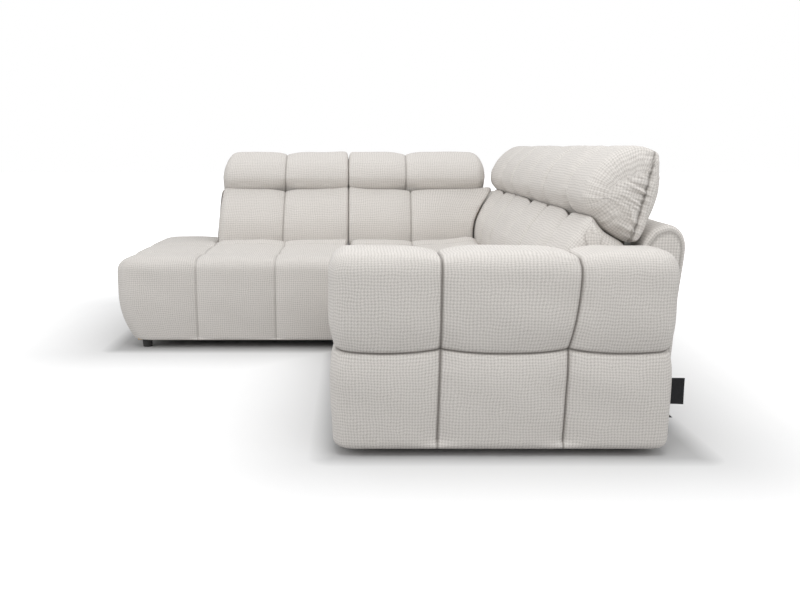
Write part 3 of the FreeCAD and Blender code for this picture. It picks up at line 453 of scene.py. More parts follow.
def tufted(name, low, high, seams, radius, depth, reach, gather=0.002, shape=None, squareness=2.0,
           seed=1, step=STEP, groove=0.006, dark=1.0):
    """Tufted block. Each seam draws the surface in along its normal by depth * fold(distance),
    plus a narrow groove, and gathers it in ripples that die out away from the seam."""
    low, high = np.array(low, float), np.array(high, float)
    lines = []
    for a in range(3):
        stops = [low[a]] + list(seams.get(a, [])) + [high[a]]
        lines.append(crowded(stops, step))
    flat, quads, sides = box_grid(lines)
    points, normal = rounded(flat, low, high, radius, squareness)
    inward = np.zeros(len(points))
    seam_shade = np.zeros(len(points))
    for a, stations in seams.items():
        others = [i for i in range(3) if i != a]
        along = flat[:, others[0]] + flat[:, others[1]]
        free = np.sqrt(np.clip(1.0 - normal[:, a] ** 2, 0.0, 1.0))
        for number, station in enumerate(stations):
            away = np.abs(flat[:, a] - station)
            inward += free * depth * fold(away, reach)
            inward += free * groove * np.exp(-(away / GROOVE_WIDTH) ** 2)
            waves = ripple(along, flat[:, a] * 0.25, seed + 17 * number + a, 0.045)
            waves += 0.5 * ripple(along, flat[:, a] * 0.2, seed + 31 * number + a, 0.022)
            inward += free * gather * waves * np.exp(-away / 0.035) * (1 - np.exp(-away / 0.006))
            # painted shade along the seam, as strong as dark
            seam_shade = np.maximum(seam_shade, free * dark * np.exp(-(away / SEAM_SHADE_WIDTH) ** 2))
    inward += UNEVENNESS * ripple(flat[:, 0] + flat[:, 2], flat[:, 1] - flat[:, 2], seed + 5, 0.30)
    inward = inward * (1.0 - np.clip(-normal[:, 2] * 1.5, 0.0, 1.0))  # the underside stays flat
    points = points - normal * inward[:, None]
    if shape is not None:
        points = shape(points, flat)
    return make_mesh(name, points, quads, block_weave(flat, quads, sides, low), seam_shade)


def edges(value, **named):
    """Edge radius of all six sides, with some named apart."""
    radius = {a + side: value for a in AXES for side in ("_low", "_high")}
    radius.update(named)
    return radius


# %% [markdown]
# ## The arm
# The arm stands in front of everything: three columns of two tufts on its outer face, the upper
# row fuller than the lower one, which draws in towards the floor. It is a box frame of boards
# inside, so only its cover is made here.

# %% The arm
ARM_LOW = (MODULE_X - 0.042, NEAR_Y, 0.016)
ARM_HIGH = (MODULE_X + 1.040, SEATS_Y - 0.0006, 0.644)
ARM_ROW = 0.339
ARM_COLUMNS = (ARM_LOW[0], ARM_LOW[0] + 0.340, ARM_LOW[0] + 0.737, ARM_HIGH[0])
ARM_SAG = 0.012
ARM_BOW = 0.030


def arm_shape(points, flat):
    """Lower row drawn in towards the floor. The cloth pulls the seams off their straight lines:
    the row seam sags by ARM_SAG in each tuft, and the rear column seam bows out by ARM_BOW above
    the row seam and comes back in below it."""
    out = points.copy()
    height = (flat[:, 2] - ARM_LOW[2]) / (ARM_HIGH[2] - ARM_LOW[2])
    across = (flat[:, 0] - ARM_LOW[0]) / (ARM_HIGH[0] - ARM_LOW[0])
    lower = np.clip(1.0 - height / 0.5, 0.0, 1.0)
    rear = np.clip((across - 0.6) / 0.4, 0.0, 1.0)
    front = np.clip((0.4 - across) / 0.4, 0.0, 1.0)
    out[:, 0] += 0.016 * front * lower ** 1.5 - 0.012 * front
    out[:, 0] += rear * (-0.014 - 0.010 * lower ** 1.5)
    level = flat[:, 2] - ARM_ROW
    for start, end in zip(ARM_COLUMNS, ARM_COLUMNS[1:]):
        share = np.clip((flat[:, 0] - start) / (end - start), 0.0, 1.0)
        out[:, 2] -= ARM_SAG * 4.0 * share * (1.0 - share) * np.exp(-(level / 0.11) ** 2)
    upper = np.clip(level / 0.30, 0.0, 1.0)
    below = np.clip(-level / 0.32, 0.0, 1.0)
    bow = ARM_BOW * np.sin(np.pi * 0.65 * upper) - 0.010 * below
    out[:, 0] += bow * np.exp(-((flat[:, 0] - ARM_COLUMNS[2]) / 0.15) ** 2)
    out[:, 0] -= 0.012 * below * np.exp(-((flat[:, 0] - ARM_COLUMNS[1]) / 0.15) ** 2)
    return out


arm = tufted("arm_cover", ARM_LOW, ARM_HIGH,
             {0: ARM_COLUMNS[1:3], 2: [ARM_ROW]},
             edges(0.085, x_low=0.070, x_high=0.060, z_low=0.03, y_low=0.070, y_high=0.06, z_high=0.075),
             depth=0.020, reach=0.13, gather=0.0026, shape=arm_shape, squareness=2.3, seed=3, groove=0.008)
finish_soft(arm, "sofa_frame", ["arm_pad"])

# %% [markdown]
# ## The seats
# Each seat is one big cushion over the springs, with its cover carried down over the rails to
# the hem. The ottoman shows three tufts along its front and one round corner at its open end.
# Behind the tufts there is a flat step, pressed down by the cushions that stand on it.

# %% The seats
SEAT_SEAMS = (0.281, 0.626)
SEAT_SWELL = 0.017
SOFT_GAP = 0.0006  # clearance between two cushions that touch
PRESS_WIDTH = 0.012  # how sharply a seat steps down behind its line


def pressed(axis, line, step_end=None):
    """Presses a seat down to the step on which the lumbar cushions stand, behind a line. The seat
    swells by SEAT_SWELL * exp(-(distance / 0.09)^2) in front of the cushions."""
    def shape(points, flat):
        out = points.copy()
        near = np.exp(-((out[:, axis] - line + 0.025) / 0.09) ** 2)
        if step_end is not None:
            near = near * np.clip((out[:, 0] - step_end) / 0.10 + 0.5, 0.0, 1.0)
        out[:, 2] += SEAT_SWELL * near * np.clip((out[:, 2] - 0.40) / 0.03, 0.0, 1.0)
        share = np.clip((out[:, axis] - line) / PRESS_WIDTH + 0.5, 0.0, 1.0)
        if step_end is not None:
            share = share * np.clip((out[:, 0] - step_end) / PRESS_WIDTH + 0.5, 0.0, 1.0)
        target = np.minimum(out[:, 2], SHELF - 0.0008)
        out[:, 2] += share * (target - out[:, 2])
        return out
    return shape


OTTOMAN_REAR = 1.290
LET_IN_START, LET_IN_REAR = 1.0, 1.1715  # where the rear begins to be let in, and where it ends
BELLY = 0.54  # share of the seat's height at which it is widest


def ottoman_shape(points, flat):
    """Seat pressed down under the back unit, its rear let in where the padded back stands, its
    open end and front drawn in below the belly, and its outer hem drawn 5 mm below the rails."""
    unit_end = MODULE_X - UNIT
    out = points.copy()
    let_in = np.clip((flat[:, 0] - (unit_end - 0.001)) / 0.004, 0.0, 1.0)
    beyond = np.clip(out[:, 1] - LET_IN_START, 0.0, None)
    squeeze = (LET_IN_REAR - LET_IN_START) / (OTTOMAN_REAR - LET_IN_START)
    out[:, 1] = np.minimum(out[:, 1], LET_IN_START + beyond * (1.0 + (squeeze - 1.0) * let_in))
    height = np.clip((flat[:, 2] - HEM) / (SEAT_TOP - HEM), 0.0, 1.0)
    under_belly = np.clip((BELLY - height) / BELLY, 0.0, 1.0)
    open_end = np.clip((-0.75 - flat[:, 0]) / 0.37, 0.0, 1.0)
    out[:, 0] += open_end * (0.070 * under_belly ** 2 - 0.006)
    front = np.clip((0.35 - flat[:, 1]) / 0.16, 0.0, 1.0)
    out[:, 1] += front * 0.022 * under_belly ** 1.5
    at_front = np.clip((WING_Y + 0.095 - flat[:, 1]) / 0.02, 0.0, 1.0)
    at_end = np.clip((WING_END_X + 0.130 - flat[:, 0]) / 0.02, 0.0, 1.0)
    low_edge = np.clip((HEM + 0.02 - flat[:, 2]) / 0.02, 0.0, 1.0)
    out[:, 2] -= 0.005 * np.maximum(at_front, at_end) * low_edge
    return pressed(1, FAR_ROW_Y + LUMBAR_FRONT, unit_end)(out, flat)


ottoman = tufted("ottoman_cover", (WING_END_X, WING_Y, HEM), (MODULE_X - MODULE_GAP, OTTOMAN_REAR, SEAT_TOP),
                 {0: [WING_END_X + 0.380, WING_END_X + 0.755], 1: [WING_Y + s for s in SEAT_SEAMS]},
                 edges(0.075, x_low=0.115, y_low=0.085, x_high=0.014, z_low=0.010, z_high=0.07),
                 depth=0.012, reach=0.13, gather=0.0018, shape=ottoman_shape, squareness=2.2, seed=11,
                 groove=0.003, dark=0.45, step=0.015)
finish_soft(ottoman, "sofa_frame",
            ["ottoman_seat_cushion", "ottoman_front_border", "ottoman_end_border",
             "ottoman_rear_border"])

SEAT_WIDTH = (WING_Y - SEATS_Y) / 2
OVERHANG = 0.028  # seat padding in front of the module line
seat_x = [MODULE_X - OVERHANG + s for s in SEAT_SEAMS]
for number, label in enumerate(("near", "middle")):
    start = SEATS_Y + number * SEAT_WIDTH
    seat = tufted(label + "_seat_cover", (MODULE_X - OVERHANG, start + SOFT_GAP, HEM),
                  (MODULE_X + SEAT_REAR, start + SEAT_WIDTH - SOFT_GAP, SEAT_TOP),
                  {0: seat_x, 1: [start + SEAT_WIDTH / 2]},
                  edges(0.04, x_low=0.08, y_high=(0.04, 0.012)[number], z_low=0.010, z_high=0.055),
                  depth=0.012, reach=0.12, shape=pressed(0, MODULE_X + LUMBAR_FRONT), seed=21 + number,
                  groove=0.003, dark=0.45, step=0.015)
    nodes = [label + "_seat_cushion"] + (["run_front_border"] if number == 0 else [])
    finish_soft(seat, "sofa_frame", nodes)


def corner_shape(points, flat):
    """Corner seat pressed down along both rows of cushions."""
    out = pressed(0, MODULE_X + LUMBAR_FRONT)(points, flat)
    return pressed(1, FAR_ROW_Y + LUMBAR_FRONT)(out, flat)


CORNER_BASE = 0.195  # the corner seat ends on the frame, because the ottoman hides what is below
corner = tufted("corner_seat_cover", (MODULE_X + MODULE_GAP, WING_Y + SOFT_GAP, CORNER_BASE),
                (MODULE_X + SEAT_REAR, FAR_ROW_Y + SEAT_REAR, SEAT_TOP),
                {0: [MODULE_X + CORNER_SEAM], 1: [WING_Y + s for s in SEAT_SEAMS]},
                edges(0.04, z_low=0.02, x_low=0.045, z_high=0.055),
                depth=0.012, reach=0.12, shape=corner_shape, seed=31, groove=0.003, dark=0.45,
                step=0.015)
finish_soft(corner, "sofa_frame", ["corner_seat_cushion"])

# %% [markdown]
# ## Cushions from a section
# Lumbar cushions, headrests and the padded backs keep one section along their length, so they
# are drawn as a closed outline carried along the row. The outline is a smooth closed curve
# through a few points. Near its ends it is drawn in, and each end is closed by a slightly
# crowned panel. A sewn channel runs down the middle of the front and over the top. The end that
# shows beside the arm is sewn up near its rear, with folds that run forward from the seam.

# %% Cushions from a section
CAP_SHARES = 1.0 - np.arange(1, 20) / 20.0  # sizes of the rings that close an end
REAR_END_RADIUS = 0.016  # edge radius behind a gathered seam


def smooth_outline(corners, count):
    """Closed Catmull-Rom curve through the corners, respaced evenly; points and outward normals."""
    p = np.array(corners, float)
    before, after, last = np.roll(p, 1, 0), np.roll(p, -1, 0), np.roll(p, -2, 0)
    t = (np.arange(24) / 24.0)[None, :, None]
    b, p, a, l = (q[:, None, :] for q in (before, p, after, last))
    curve = 0.5 * (2 * p + (a - b) * t + (2 * b - 5 * p + 4 * a - l) * t ** 2
                   + (3 * p - b - 3 * a + l) * t ** 3)
    curve = curve.reshape(-1, 2)
    closed = np.vstack([curve, curve[:1]])
    length = np.concatenate([[0.0], np.cumsum(np.linalg.norm(np.diff(closed, axis=0), axis=1))])
    at = np.linspace(0.0, length[-1], count, endpoint=False)
    ring = np.stack([np.interp(at, length, closed[:, i]) for i in range(2)], axis=1)
    tangent = np.roll(ring, -1, 0) - np.roll(ring, 1, 0)
    normal = np.stack([tangent[:, 1], -tangent[:, 0]], axis=1)
    normal /= np.linalg.norm(normal, axis=1, keepdims=True)
    area = (ring[:, 0] * np.roll(ring[:, 1], -1) - np.roll(ring[:, 0], -1) * ring[:, 1]).sum()
    if area < 0:
        normal = -normal
    return ring, normal, at


def closed_ends(points, w, middle, crown):
    """Adds an end cap at both ends: the rim shrinks to the middle in 19 rings, and a cap crowns by
    crown * (1 - share^2)."""
    section, along = [points], [w]
    for end, sign in ((0, -1.0), (-1, 1.0)):
        cap = middle + (points[end][None] - middle) * CAP_SHARES[:, None, None]
        bulge = w[end, 0] + sign * crown * (1.0 - CAP_SHARES ** 2)[:, None] * np.ones(w.shape[1])
        if end == 0:
            section.insert(0, cap[::-1])
            along.insert(0, bulge[::-1])
        else:
            section.append(cap)
            along.append(bulge)
    return np.concatenate(section), np.concatenate(along)


def gather_end(section, along, shade, last, seam, seed):
    """Sews a seam across the first end, at one depth, down to a last row. The seam is drawn in by
    8 mm, and folds run forward from it: ripple * exp(-distance / 0.055)."""
    cap = slice(0, last)
    depth, height = section[cap, :, 0], section[cap, :, 1]
    before = seam - depth
    along[cap] += 0.008 * np.exp(-(before / 0.008) ** 2)
    folds = ripple(height + 0.25 * depth, depth * 0.1, seed, 0.022)
    along[cap] += 0.010 * folds * np.exp(-np.abs(before) / np.where(before > 0, 0.055, 0.010))
    # painted shade along the gathered seam
    shade[cap] = np.maximum(shade[cap], 0.9 * np.exp(-(before / 0.0045) ** 2))


def leaned(flat, pivot, angle):
    """Section points turned back by an angle and set on a pivot."""
    c, s = math.cos(angle), math.sin(angle)
    return np.stack([pivot[0] + flat[:, 0] * c + flat[:, 1] * s,
                     pivot[1] - flat[:, 0] * s + flat[:, 1] * c], axis=1)


def ring_faces(rows, count):
    """Quads between neighbouring rings, and a fan to a pole at each end."""
    grid = np.arange(rows * count).reshape(rows, count)
    following = np.roll(grid, -1, axis=1)
    quads = np.stack([grid[:-1], following[:-1], following[1:], grid[1:]], axis=-1).reshape(-1, 4)
    pole = rows * count
    first = np.stack([np.full(count, pole), following[0], grid[0]], axis=1)
    last = np.stack([np.full(count, pole + 1), grid[-1], following[-1]], axis=1)
    return quads, np.vstack([first, last])


def section_weave(section, along, drawn, at, perimeter, middle, quads, fans):
    """Weave map: cloth length along the row and round the outline, and the plain section on the caps."""
    rows, count = section.shape[:2]
    caps = len(CAP_SHARES)
    drawn = np.concatenate([np.zeros(caps), drawn, np.zeros(caps)])
    line = np.concatenate([[0.0], np.cumsum(np.hypot(np.diff(along[:, 0]), np.diff(drawn)))])
    arc = np.concatenate([at, [perimeter]])
    start = np.repeat(np.arange(count)[None], rows - 1, 0)
    row = np.repeat(np.arange(rows - 1)[:, None], count, 1)
    corners = [(row, start), (row, start + 1), (row + 1, start + 1), (row + 1, start)]
    weave = np.stack([np.stack([line[r], arc[c]], -1) for r, c in corners], axis=2).reshape(-1, 4, 2)
    on_cap = ((row < caps) | (row >= rows - 1 - caps)).ravel()
    flat = section.reshape(-1, 2)
    weave[on_cap] = flat[quads[on_cap]]
    with_poles = np.vstack([flat, middle, middle])
    return np.vstack([weave.reshape(-1, 2), with_poles[fans].reshape(-1, 2)])


def lengthways(name, corners, width, seams, place, turn=None, depth=0.018, reach=0.12,
               end_radius=(0.035, 0.035), end_crown=0.010, gather=0.002, seed=1, ring_step=0.009,
               flat_below=None, rim_shade=0.0, gathered_end=None, shoulder=(0.0, 0.0), lift=0.0,
               slant=None, dark=0.6, step=STEP):
    """Outline carried along a row. It is drawn in along its normal: near an end by drawn_round, at
    a seam by depth * fold. A shoulder lowers the upper corner at an end by drawn_round too."""
    perimeter = np.linalg.norm(np.diff(np.array(corners + corners[:1]), axis=0), axis=1).sum()
    count = int(perimeter / ring_step)
    ring, normal, at = smooth_outline(corners, count)
    rows = crowded([0.0] + list(seams) + [width], step)
    facing = np.clip(-normal[:, 0] * 1.5 + 0.2, 0.0, 1.0)
    over = np.clip(normal[:, 1] * 1.5, 0.0, 1.0)
    weight = np.clip(facing + over, 0.0, 1.0)
    s, w = np.meshgrid(at, rows)
    near_end = np.minimum(w, width - w)
    first_half = w < width / 2
    radius = np.where(first_half, *end_radius)
    if gathered_end is not None:
        to_front = np.clip(0.62 - 0.8 * normal[:, 0], 0.0, 1.0)[None]
        radius = np.where(first_half, REAR_END_RADIUS + (radius - REAR_END_RADIUS) * to_front, radius)
    inward = drawn_round(radius, near_end)
    seam_shade = np.zeros_like(w)
    for number, seam in enumerate(seams):
        away = np.abs(w - seam)
        inward += weight * depth * fold(away, reach)
        inward += weight * 0.005 * np.exp(-(away / GROOVE_WIDTH) ** 2)
        waves = ripple(s, w * 0.3, seed + 13 * number, 0.05) + 0.5 * ripple(s, w * 0.3, seed + 7, 0.025)
        inward += weight * gather * waves * np.exp(-away / 0.04) * (1 - np.exp(-away / 0.006))
        # painted shade along the channel's seam, as strong as dark
        seam_shade = np.maximum(seam_shade, weight * dark * np.exp(-(away / SEAM_SHADE_WIDTH) ** 2))
    gathers = ripple(s, w * 0.2, seed + 3, 0.045 if gathered_end is None else 0.026)
    inward += gather * gathers * np.exp(-near_end / 0.05) * weight
    inward += UNEVENNESS * ripple(s, w, seed + 9, 0.25)
    points = ring[None] - normal[None] * inward[..., None]
    middle = ring.mean(0)
    share = np.clip((ring[:, 1] - middle[1]) / (ring[:, 1].max() - middle[1]), 0.0, 1.0)
    corner = np.maximum(np.where(first_half, *shoulder), 1e-6)
    points[..., 1] -= drawn_round(corner, near_end) * share ** 1.5
    points[..., 1] += lift * share * np.abs(2 * w / width - 1) ** 6
    section, along = closed_ends(points, w, middle, end_crown)
    caps = len(CAP_SHARES)
    shade = np.zeros(along.shape)
    shade[caps:-caps] = seam_shade
    # painted shade on the rim ring of each end, where its panel is set in
    shade[caps] = shade[-caps - 1] = rim_shade
    if gathered_end is not None:
        last = caps + int(np.searchsorted(rows, 0.035))
        gather_end(section, along, shade, last, gathered_end, seed + 4)
    flat = np.vstack([section.reshape(-1, 2), middle, middle])
    width_at = np.append(along.reshape(-1), [rows[0] - end_crown, rows[-1] + end_crown])
    if turn is not None:
        flat = leaned(flat, *turn)
    if flat_below is not None:
        flat[:, 1] = np.maximum(flat[:, 1], flat_below)
    if slant is not None:
        width_at = slant(width_at, flat[:, 1])
    room = place(flat[:, 0], width_at, flat[:, 1])
    quads, fans = ring_faces(section.shape[0], count)
    weave = section_weave(section, along, inward.mean(1), at, perimeter, middle, quads, fans)
    faces = [list(f) for f in quads] + [list(f) for f in fans]
    obj = make_mesh(name, room, faces, weave, np.append(shade.reshape(-1), [0.0, 0.0]))
    centre = Vector(room.mean(0))
    outward = np.array([p.normal @ (p.center - centre) for p in list(obj.data.polygons)[:200]])
    if (outward > 0).mean() < 0.5:
        obj.data.flip_normals()
    return obj


# %% [markdown]
# ## Lumbar cushions and headrests
# A lumbar cushion is full in front and has a crest that runs up under the headrest. A headrest
# hangs on its two hinges above it, and leans back 13 degrees. The sections are the same for all
# five units, only the headrests of the far row are a little lower.

# %% Lumbar cushions and headrests
LUMBAR_DEPTH, LUMBAR_HEIGHT = 0.258, 0.281
HEADREST_FRONT, HEADREST_REAR, HEADREST_FOOT = 0.155, 0.032, 0.080
HEADREST_TOP, FAR_HEADREST_TOP = 0.241, 0.207
UNIT_GAP = 0.003  # between neighbouring back units
LUMBAR = [(0.03, 0.0), (0.0, 0.15), (0.0, 0.31), (0.03, 0.47), (0.09, 0.60), (0.20, 0.78), (0.33, 0.93),
          (0.43, 1.04), (0.49, 1.08), (0.535, 1.05), (0.575, 1.00), (0.66, 0.915), (0.76, 0.85),
          (0.90, 0.775), (0.97, 0.68), (0.995, 0.52), (1.0, 0.30), (0.99, 0.06), (0.95, 0.0), (0.6, 0.0),
          (0.3, 0.0)]
HEADREST = [(-1.14, -0.02), (-1.27, 0.14), (-1.26, 0.36), (-1.15, 0.58), (-0.98, 0.755), (-0.76, 0.90),
            (-0.55, 0.97), (-0.36, 0.992), (-0.20, 0.985), (-0.03, 0.955), (0.10, 0.90), (0.34, 0.77),
            (0.75, 0.60), (0.97, 0.40), (0.88, 0.20), (0.72, 0.06), (0.63, -0.26), (0.50, -0.55),
            (0.28, -0.80), (-0.04, -0.97), (-0.22, -0.985), (-0.535, -0.79), (-0.74, -0.61),
            (-0.93, -0.32)]


def lumbar_outline():
    """Lumbar section in metres, from shares of its depth and height."""
    return [(LUMBAR_FRONT + LUMBAR_DEPTH * d, SHELF + SOFT_GAP + LUMBAR_HEIGHT * h) for d, h in LUMBAR]


def headrest_outline(top):
    """Headrest section in metres about the hinge, from shares of its reach each way."""
    outline = []
    for d, h in HEADREST:
        reach = HEADREST_REAR if d > 0 else HEADREST_FRONT
        outline.append((d * reach, h * (top if h > 0 else HEADREST_FOOT)))
    return outline


def back_unit(label, row, lumbar, head, top, seed, lumbar_radius=(0.045, 0.045), head_radius=(0.045, 0.045),
              shoulder=(0.02, 0.02), lift=0.0, lumbar_slant=None, head_slant=None, gathered_end=None):
    """Lumbar cushion and headrest of one unit. Each is given by its start, width and seam. The
    channels of the main run are pulled deeper than those of the far row, and get darker painted
    shade along their seams."""
    channel, dark = (0.024, 0.9) if row is main_run else (0.016, 0.6)
    side = UNIT_GAP / 2
    start, width, seam = lumbar
    cushion = lengthways(label + "_lumbar_cover", lumbar_outline(), width - UNIT_GAP, [seam - side],
                         row(start + side), depth=channel, dark=dark, seed=seed, flat_below=SHELF + 0.0003,
                         lift=lift, slant=lumbar_slant, end_radius=lumbar_radius)
    finish_soft(cushion, "sofa_frame", [label + "_lumbar_cushion"])
    start, width, seam = head
    cushion = lengthways(label + "_headrest_cover", headrest_outline(top), width - UNIT_GAP, [seam - side],
                         row(start + side), turn=((HINGE_DEPTH, HINGE_HEIGHT), math.radians(LEAN)),
                         depth=channel, dark=dark, seed=seed + 50, slant=head_slant, shoulder=shoulder,
                         gathered_end=gathered_end, end_radius=head_radius, ring_step=0.0065,
                         gather=0.002 if gathered_end is None else 0.003)
    finish_soft(cushion, label + "_headrest", [label + "_headrest_cushion"])


def far_row_left(start):
    """Section of the far row measured leftwards, from a place that far left of the module line."""
    return far_row(MODULE_X - start)


def narrowed(along, height):
    """The open end of the far row slopes in by 8 mm at the seat and 30 mm more at the top."""
    share = np.clip((height - SHELF) / 0.45, 0.0, 1.0)
    return along - np.clip(along / UNIT, 0.0, 1.0) * (0.008 + 0.030 * share)


FRONT_HEIGHTS = [0.31, 0.47, 0.60, 0.78, 0.93, 1.04]
FRONT_DEPTHS = [0, 0.03, 0.09, 0.20, 0.33, 0.43]  # the front of LUMBAR, from its foot to its crest


def into_corner(along, height):
    """The corner cushion's right end follows the front of the main run's cushions as they lean back."""
    front = np.interp((height - SHELF) / LUMBAR_HEIGHT, FRONT_HEIGHTS, FRONT_DEPTHS)
    return along - np.clip(1.0 - along / 0.30, 0.0, 1.0) * (0.008 + LUMBAR_DEPTH * front)


FAR_LUMBAR = FAR_ROW_Y + LUMBAR_FRONT - (SEATS_Y + 2 * UNIT) + LUMBAR_DEPTH / 2
CORNER_INSET = 0.027  # room in the corner between the headrests of the two rows
corner_head = CORNER_HEADREST - CORNER_INSET
back_unit("near", main_run, (0.0, UNIT, UNIT / 2), (0.0, UNIT, UNIT / 2), HEADREST_TOP, 100,
          gathered_end=-0.014, head_radius=(0.075, 0.045), lumbar_radius=(0.06, 0.045), shoulder=(0.04, 0.02))
back_unit("middle", main_run, (UNIT, UNIT, UNIT / 2), (UNIT, UNIT, UNIT / 2), HEADREST_TOP, 101)
back_unit("far", main_run, (2 * UNIT, FAR_LUMBAR, UNIT / 2), (2 * UNIT, UNIT, UNIT / 2), HEADREST_TOP, 102,
          shoulder=(0.02, 0.05), head_radius=(0.045, 0.05))
back_unit("ottoman", far_row_left, (0.0, UNIT, UNIT / 2), (0.0, UNIT, UNIT / 2), FAR_HEADREST_TOP, 110,
          lift=0.016, lumbar_slant=narrowed, head_slant=narrowed, shoulder=(0.02, 0.085),
          head_radius=(0.02, 0.05), lumbar_radius=(0.02, 0.045))
back_unit("corner", far_row_left, (-CORNER_LUMBAR, CORNER_LUMBAR, CORNER_LUMBAR - CORNER_SEAM),
          (-corner_head, corner_head, CORNER_HEADREST - CORNER_SEAM - 0.002), FAR_HEADREST_TOP, 120,
          lift=0.016, lumbar_slant=into_corner, shoulder=(0.085, 0.02), head_radius=(0.05, 0.02),
          lumbar_radius=(0.02, 0.02))

# %% [markdown]
# ## Padded backs
# Behind the cushions stands a padded back with a round top. Its near end, beside the arm, is
# closed by a panel set in with a seam all round, which shows as painted shade on the rim.

# %% Padded backs
BACK = [(0.985, 0.600), (0.988, 0.640), (1.011, 0.680), (1.050, 0.703), (1.082, 0.7035), (1.110, 0.685),
        (1.127, 0.650), (1.129, 0.600), (1.114, 0.45), (1.104, 0.25), (1.099, 0.08), (1.096, 0.0415),
        (1.09, 0.0405), (1.02, 0.0405), (0.988, 0.0415), (0.9855, 0.08), (0.9855, 0.25), (0.9855, 0.45)]


def padded_back(label, width, seams, place, radius, crown, rim_shade, seed):
    """Padded back of one row, in place of its CAD padding. Long plain stretches need few rings."""
    back = lengthways(label + "_back_cover", BACK, width, seams, place, depth=0.0, end_radius=(radius, radius),
                      end_crown=crown, rim_shade=rim_shade, seed=seed, ring_step=0.014, step=0.030)
    finish_soft(back, "sofa_frame", [label + "_back_pad"])


padded_back("run", 2.4390, [UNIT, 2 * UNIT], main_run(SOFT_GAP), 0.022, 0.004, 0.6, 201)
padded_back("corner", 0.9826, [], far_row(MODULE_X + 0.9844), 0.012, 0.0, 0.0, 203)
padded_back("ottoman", 0.7280, [], far_row(MODULE_X - MODULE_GAP), 0.018, 0.002, 0.6, 205)

# %% [markdown]
# ## Cloth under the frame and the label
# The underside is closed by thin black cloth, stapled to the rails and sagging a few
# millimetres between them. The label is a short blank ribbon caught in the arm's rear seam.

# %% Cloth under the frame and the label
def flat_sheet(name, first, second, third, count, material, sag, thickness):
    """Sheet from three corners: corner + u * side + v * side, with sag(u, v) added."""
    u, v = np.meshgrid(np.linspace(0, 1, count[0]), np.linspace(0, 1, count[1]), indexing="ij")
    a, b, c = (np.array(q, float) for q in (first, second, third))
    points = a + u[..., None] * (b - a) + v[..., None] * (c - a) + sag(u, v)
    grid = np.arange(u.size).reshape(u.shape)
    quads = np.stack([grid[:-1, :-1], grid[1:, :-1], grid[1:, 1:], grid[:-1, 1:]], axis=-1).reshape(-1, 4)
    cloth = np.stack([u.ravel() * np.linalg.norm(b - a), v.ravel() * np.linalg.norm(c - a)], axis=1)
    weave = cloth[quads].reshape(-1, 2)
    obj = make_mesh(name, points.reshape(-1, 3), quads, weave, np.zeros(u.size), material)
    thick = obj.modifiers.new("thickness", "SOLIDIFY")
    thick.thickness = thickness
    thick.offset = 0.0
    return obj


DUST_CLOTH_LEVEL = 0.0396  # just below the rails


def dust_sheet(name, node, low, high):
    """Cloth under one seat frame, a little below the rails in the middle."""
    def sag(u, v):
        middle = np.sin(np.pi * u) * np.sin(np.pi * v)
        drop = -(0.0035 + 0.0006 * ripple(u * 3, v * 3, 5, 1.0)) * middle
        return np.stack([0 * u, 0 * u, drop], axis=-1)
    z = DUST_CLOTH_LEVEL
    sheet = flat_sheet(name, (low[0], low[1], z), (low[0], high[1], z), (high[0], low[1], z), (40, 40),
                       "dust_cloth", sag, 0.0007)
    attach(sheet, "sofa_frame")
    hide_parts(node)
    print(name, "flat", round(high[0] - low[0], 3), "by", round(high[1] - low[1], 3))


for row in ("run", "ottoman"):
    low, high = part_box(row + "_dust_cover")
    dust_sheet(row + "_dust_cloth", row + "_dust_cover", low, high)

label_low, label_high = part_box("blank_label")
LABEL_END = label_high.x + 0.022  # the free end stands a little further out than its sewn part


def label_curve(u, v):
    """The free end of the ribbon bows a few millimetres sideways."""
    return np.stack([0 * u, -0.004 * u ** 2 + 0.001 * np.sin(3 * v), 0.0015 * u * (v - 0.5)], axis=-1)


LABEL_Y = label_low.y + 0.001
ribbon = flat_sheet("blank_ribbon", (label_low.x, LABEL_Y, label_low.z), (LABEL_END, LABEL_Y, label_low.z),
                    (label_low.x, LABEL_Y, label_high.z), (14, 20), "label_cloth", label_curve, 0.0014)
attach(ribbon, "sofa_frame")
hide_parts("blank_label")

# %% [markdown]
# ## Floor and light
# A white studio: the floor runs out of the picture, and the world behind it is white. A large
# soft lamp hangs above, with weaker ones in front, over the arm and at both sides, so the tops are
# bright and the upright faces stay a clear step darker. The floor's glow fades towards the sofa,
# so the shadow under the frame stays black.

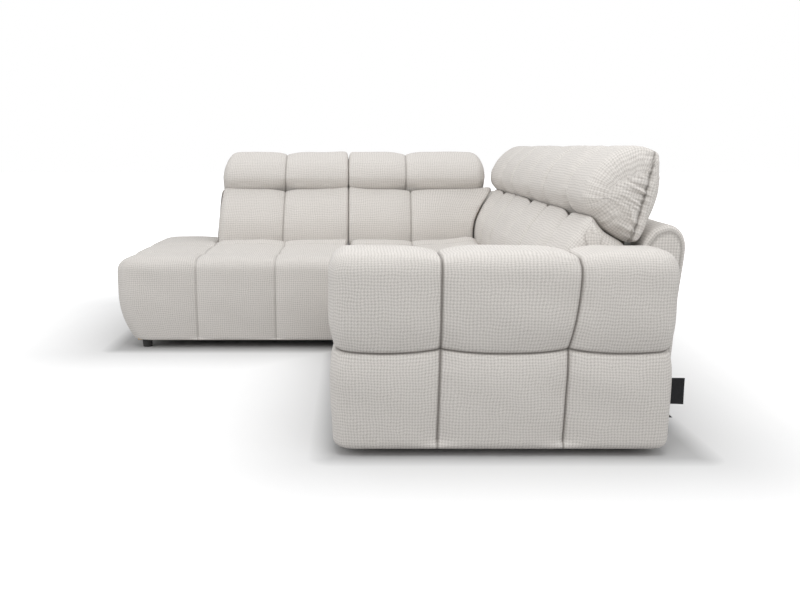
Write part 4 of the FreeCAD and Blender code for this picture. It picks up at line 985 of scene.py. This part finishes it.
# %% Floor and light
def studio_floor():
    """Large floor that keeps the shadow. To the camera it glows by 0.22 + 0.9 * distance / 1.6 m,
    up to 1.12, so it meets the white. The distance is to the outline of the two rows, and the
    glow fades out over the last 8 cm of it."""
    paint = Paint("studio_floor")
    seen = paint.node("ShaderNodeLightPath", {}, {}, 0)
    paint.feed(paint.shader.inputs["Base Color"], (0.50, 0.50, 0.50, 1.0))
    paint.feed(paint.shader.inputs["Roughness"], 0.9)
    paint.feed(paint.shader.inputs["Emission Color"], (1.0, 1.0, 1.0, 1.0))
    x, y = (paint.node("ShaderNodeSeparateXYZ", {}, {0: paint.place()}, axis) for axis in (0, 1))
    outside = []
    for x_low, x_high, y_low, y_high in ((-0.06, 1.08, NEAR_Y, 1.36), (WING_END_X, 0.0, WING_Y, 1.36)):
        beside = ((x - (x_low + x_high) / 2).math("ABSOLUTE") - (x_high - x_low) / 2).larger(0.0)
        before = ((y - (y_low + y_high) / 2).math("ABSOLUTE") - (y_high - y_low) / 2).larger(0.0)
        outside.append((beside * beside + before * before) ** 0.5)
    gap = outside[0].math("MINIMUM", outside[1])
    glow = (gap / 1.6).clamped() * 0.9 + 0.22
    paint.feed(paint.shader.inputs["Emission Strength"], seen * glow * (gap / 0.08).clamped())
    mesh = bpy.data.meshes.new("studio_floor")
    reach = 30.0
    mesh.from_pydata([(-reach, -reach, 0), (reach, -reach, 0), (reach, reach, 0), (-reach, reach, 0)], [],
                     [(0, 1, 2, 3)])
    mesh.materials.append(paint.material)
    floor = bpy.data.objects.new("studio_floor", mesh)
    bpy.context.scene.collection.objects.link(floor)
    return floor


floor = studio_floor()

world = bpy.data.worlds.new("studio")
bpy.context.scene.world = world
world.use_nodes = True
tree = world.node_tree
background = tree.nodes["Background"]
background.inputs["Color"].default_value = (0.97, 0.98, 1.0, 1.0)
background.inputs["Strength"].default_value = 0.29
white = tree.nodes.new("ShaderNodeBackground")
white.inputs["Strength"].default_value = 1.0
white.inputs["Color"].default_value = (1.0, 1.0, 1.0, 1.0)
path = tree.nodes.new("ShaderNodeLightPath")
seen = tree.nodes.new("ShaderNodeMath")
seen.operation = "MAXIMUM"
tree.links.new(path.outputs["Is Camera Ray"], seen.inputs[0])
tree.links.new(path.outputs["Is Glossy Ray"], seen.inputs[1])
blend = tree.nodes.new("ShaderNodeMixShader")
tree.links.new(seen.outputs[0], blend.inputs[0])
tree.links.new(background.outputs[0], blend.inputs[1])
tree.links.new(white.outputs[0], blend.inputs[2])
tree.links.new(blend.outputs[0], tree.nodes["World Output"].inputs[0])


def softbox(name, where, aim, size, power):
    """Square lamp that faces a point."""
    data = bpy.data.lights.new(name, "AREA")
    data.shape = "RECTANGLE"
    data.size, data.size_y = size
    data.energy = power
    lamp = bpy.data.objects.new(name, data)
    lamp.location = where
    lamp.rotation_euler = (Vector(aim) - Vector(where)).to_track_quat("-Z", "Y").to_euler()
    bpy.context.scene.collection.objects.link(lamp)


softbox("lamp_top", (0.0, 0.7, 3.3), (0.0, 0.5, 0.0), (4.5, 4.0), 70)
softbox("lamp_arm", (0.4, -2.4, 2.5), (0.5, -1.2, 0.6), (2.0, 1.5), 27)
softbox("lamp_front", (-0.5, -7.0, 3.0), (0.0, 0.0, 0.4), (4.0, 3.0), 66)
softbox("lamp_left", (-4.2, -1.8, 2.2), (0.0, 0.0, 0.4), (3.0, 3.0), 76)
softbox("lamp_right", (4.2, -2.2, 2.2), (0.3, -0.5, 0.4), (3.0, 3.0), 58)

bpy.context.scene.view_settings.view_transform = "Standard"
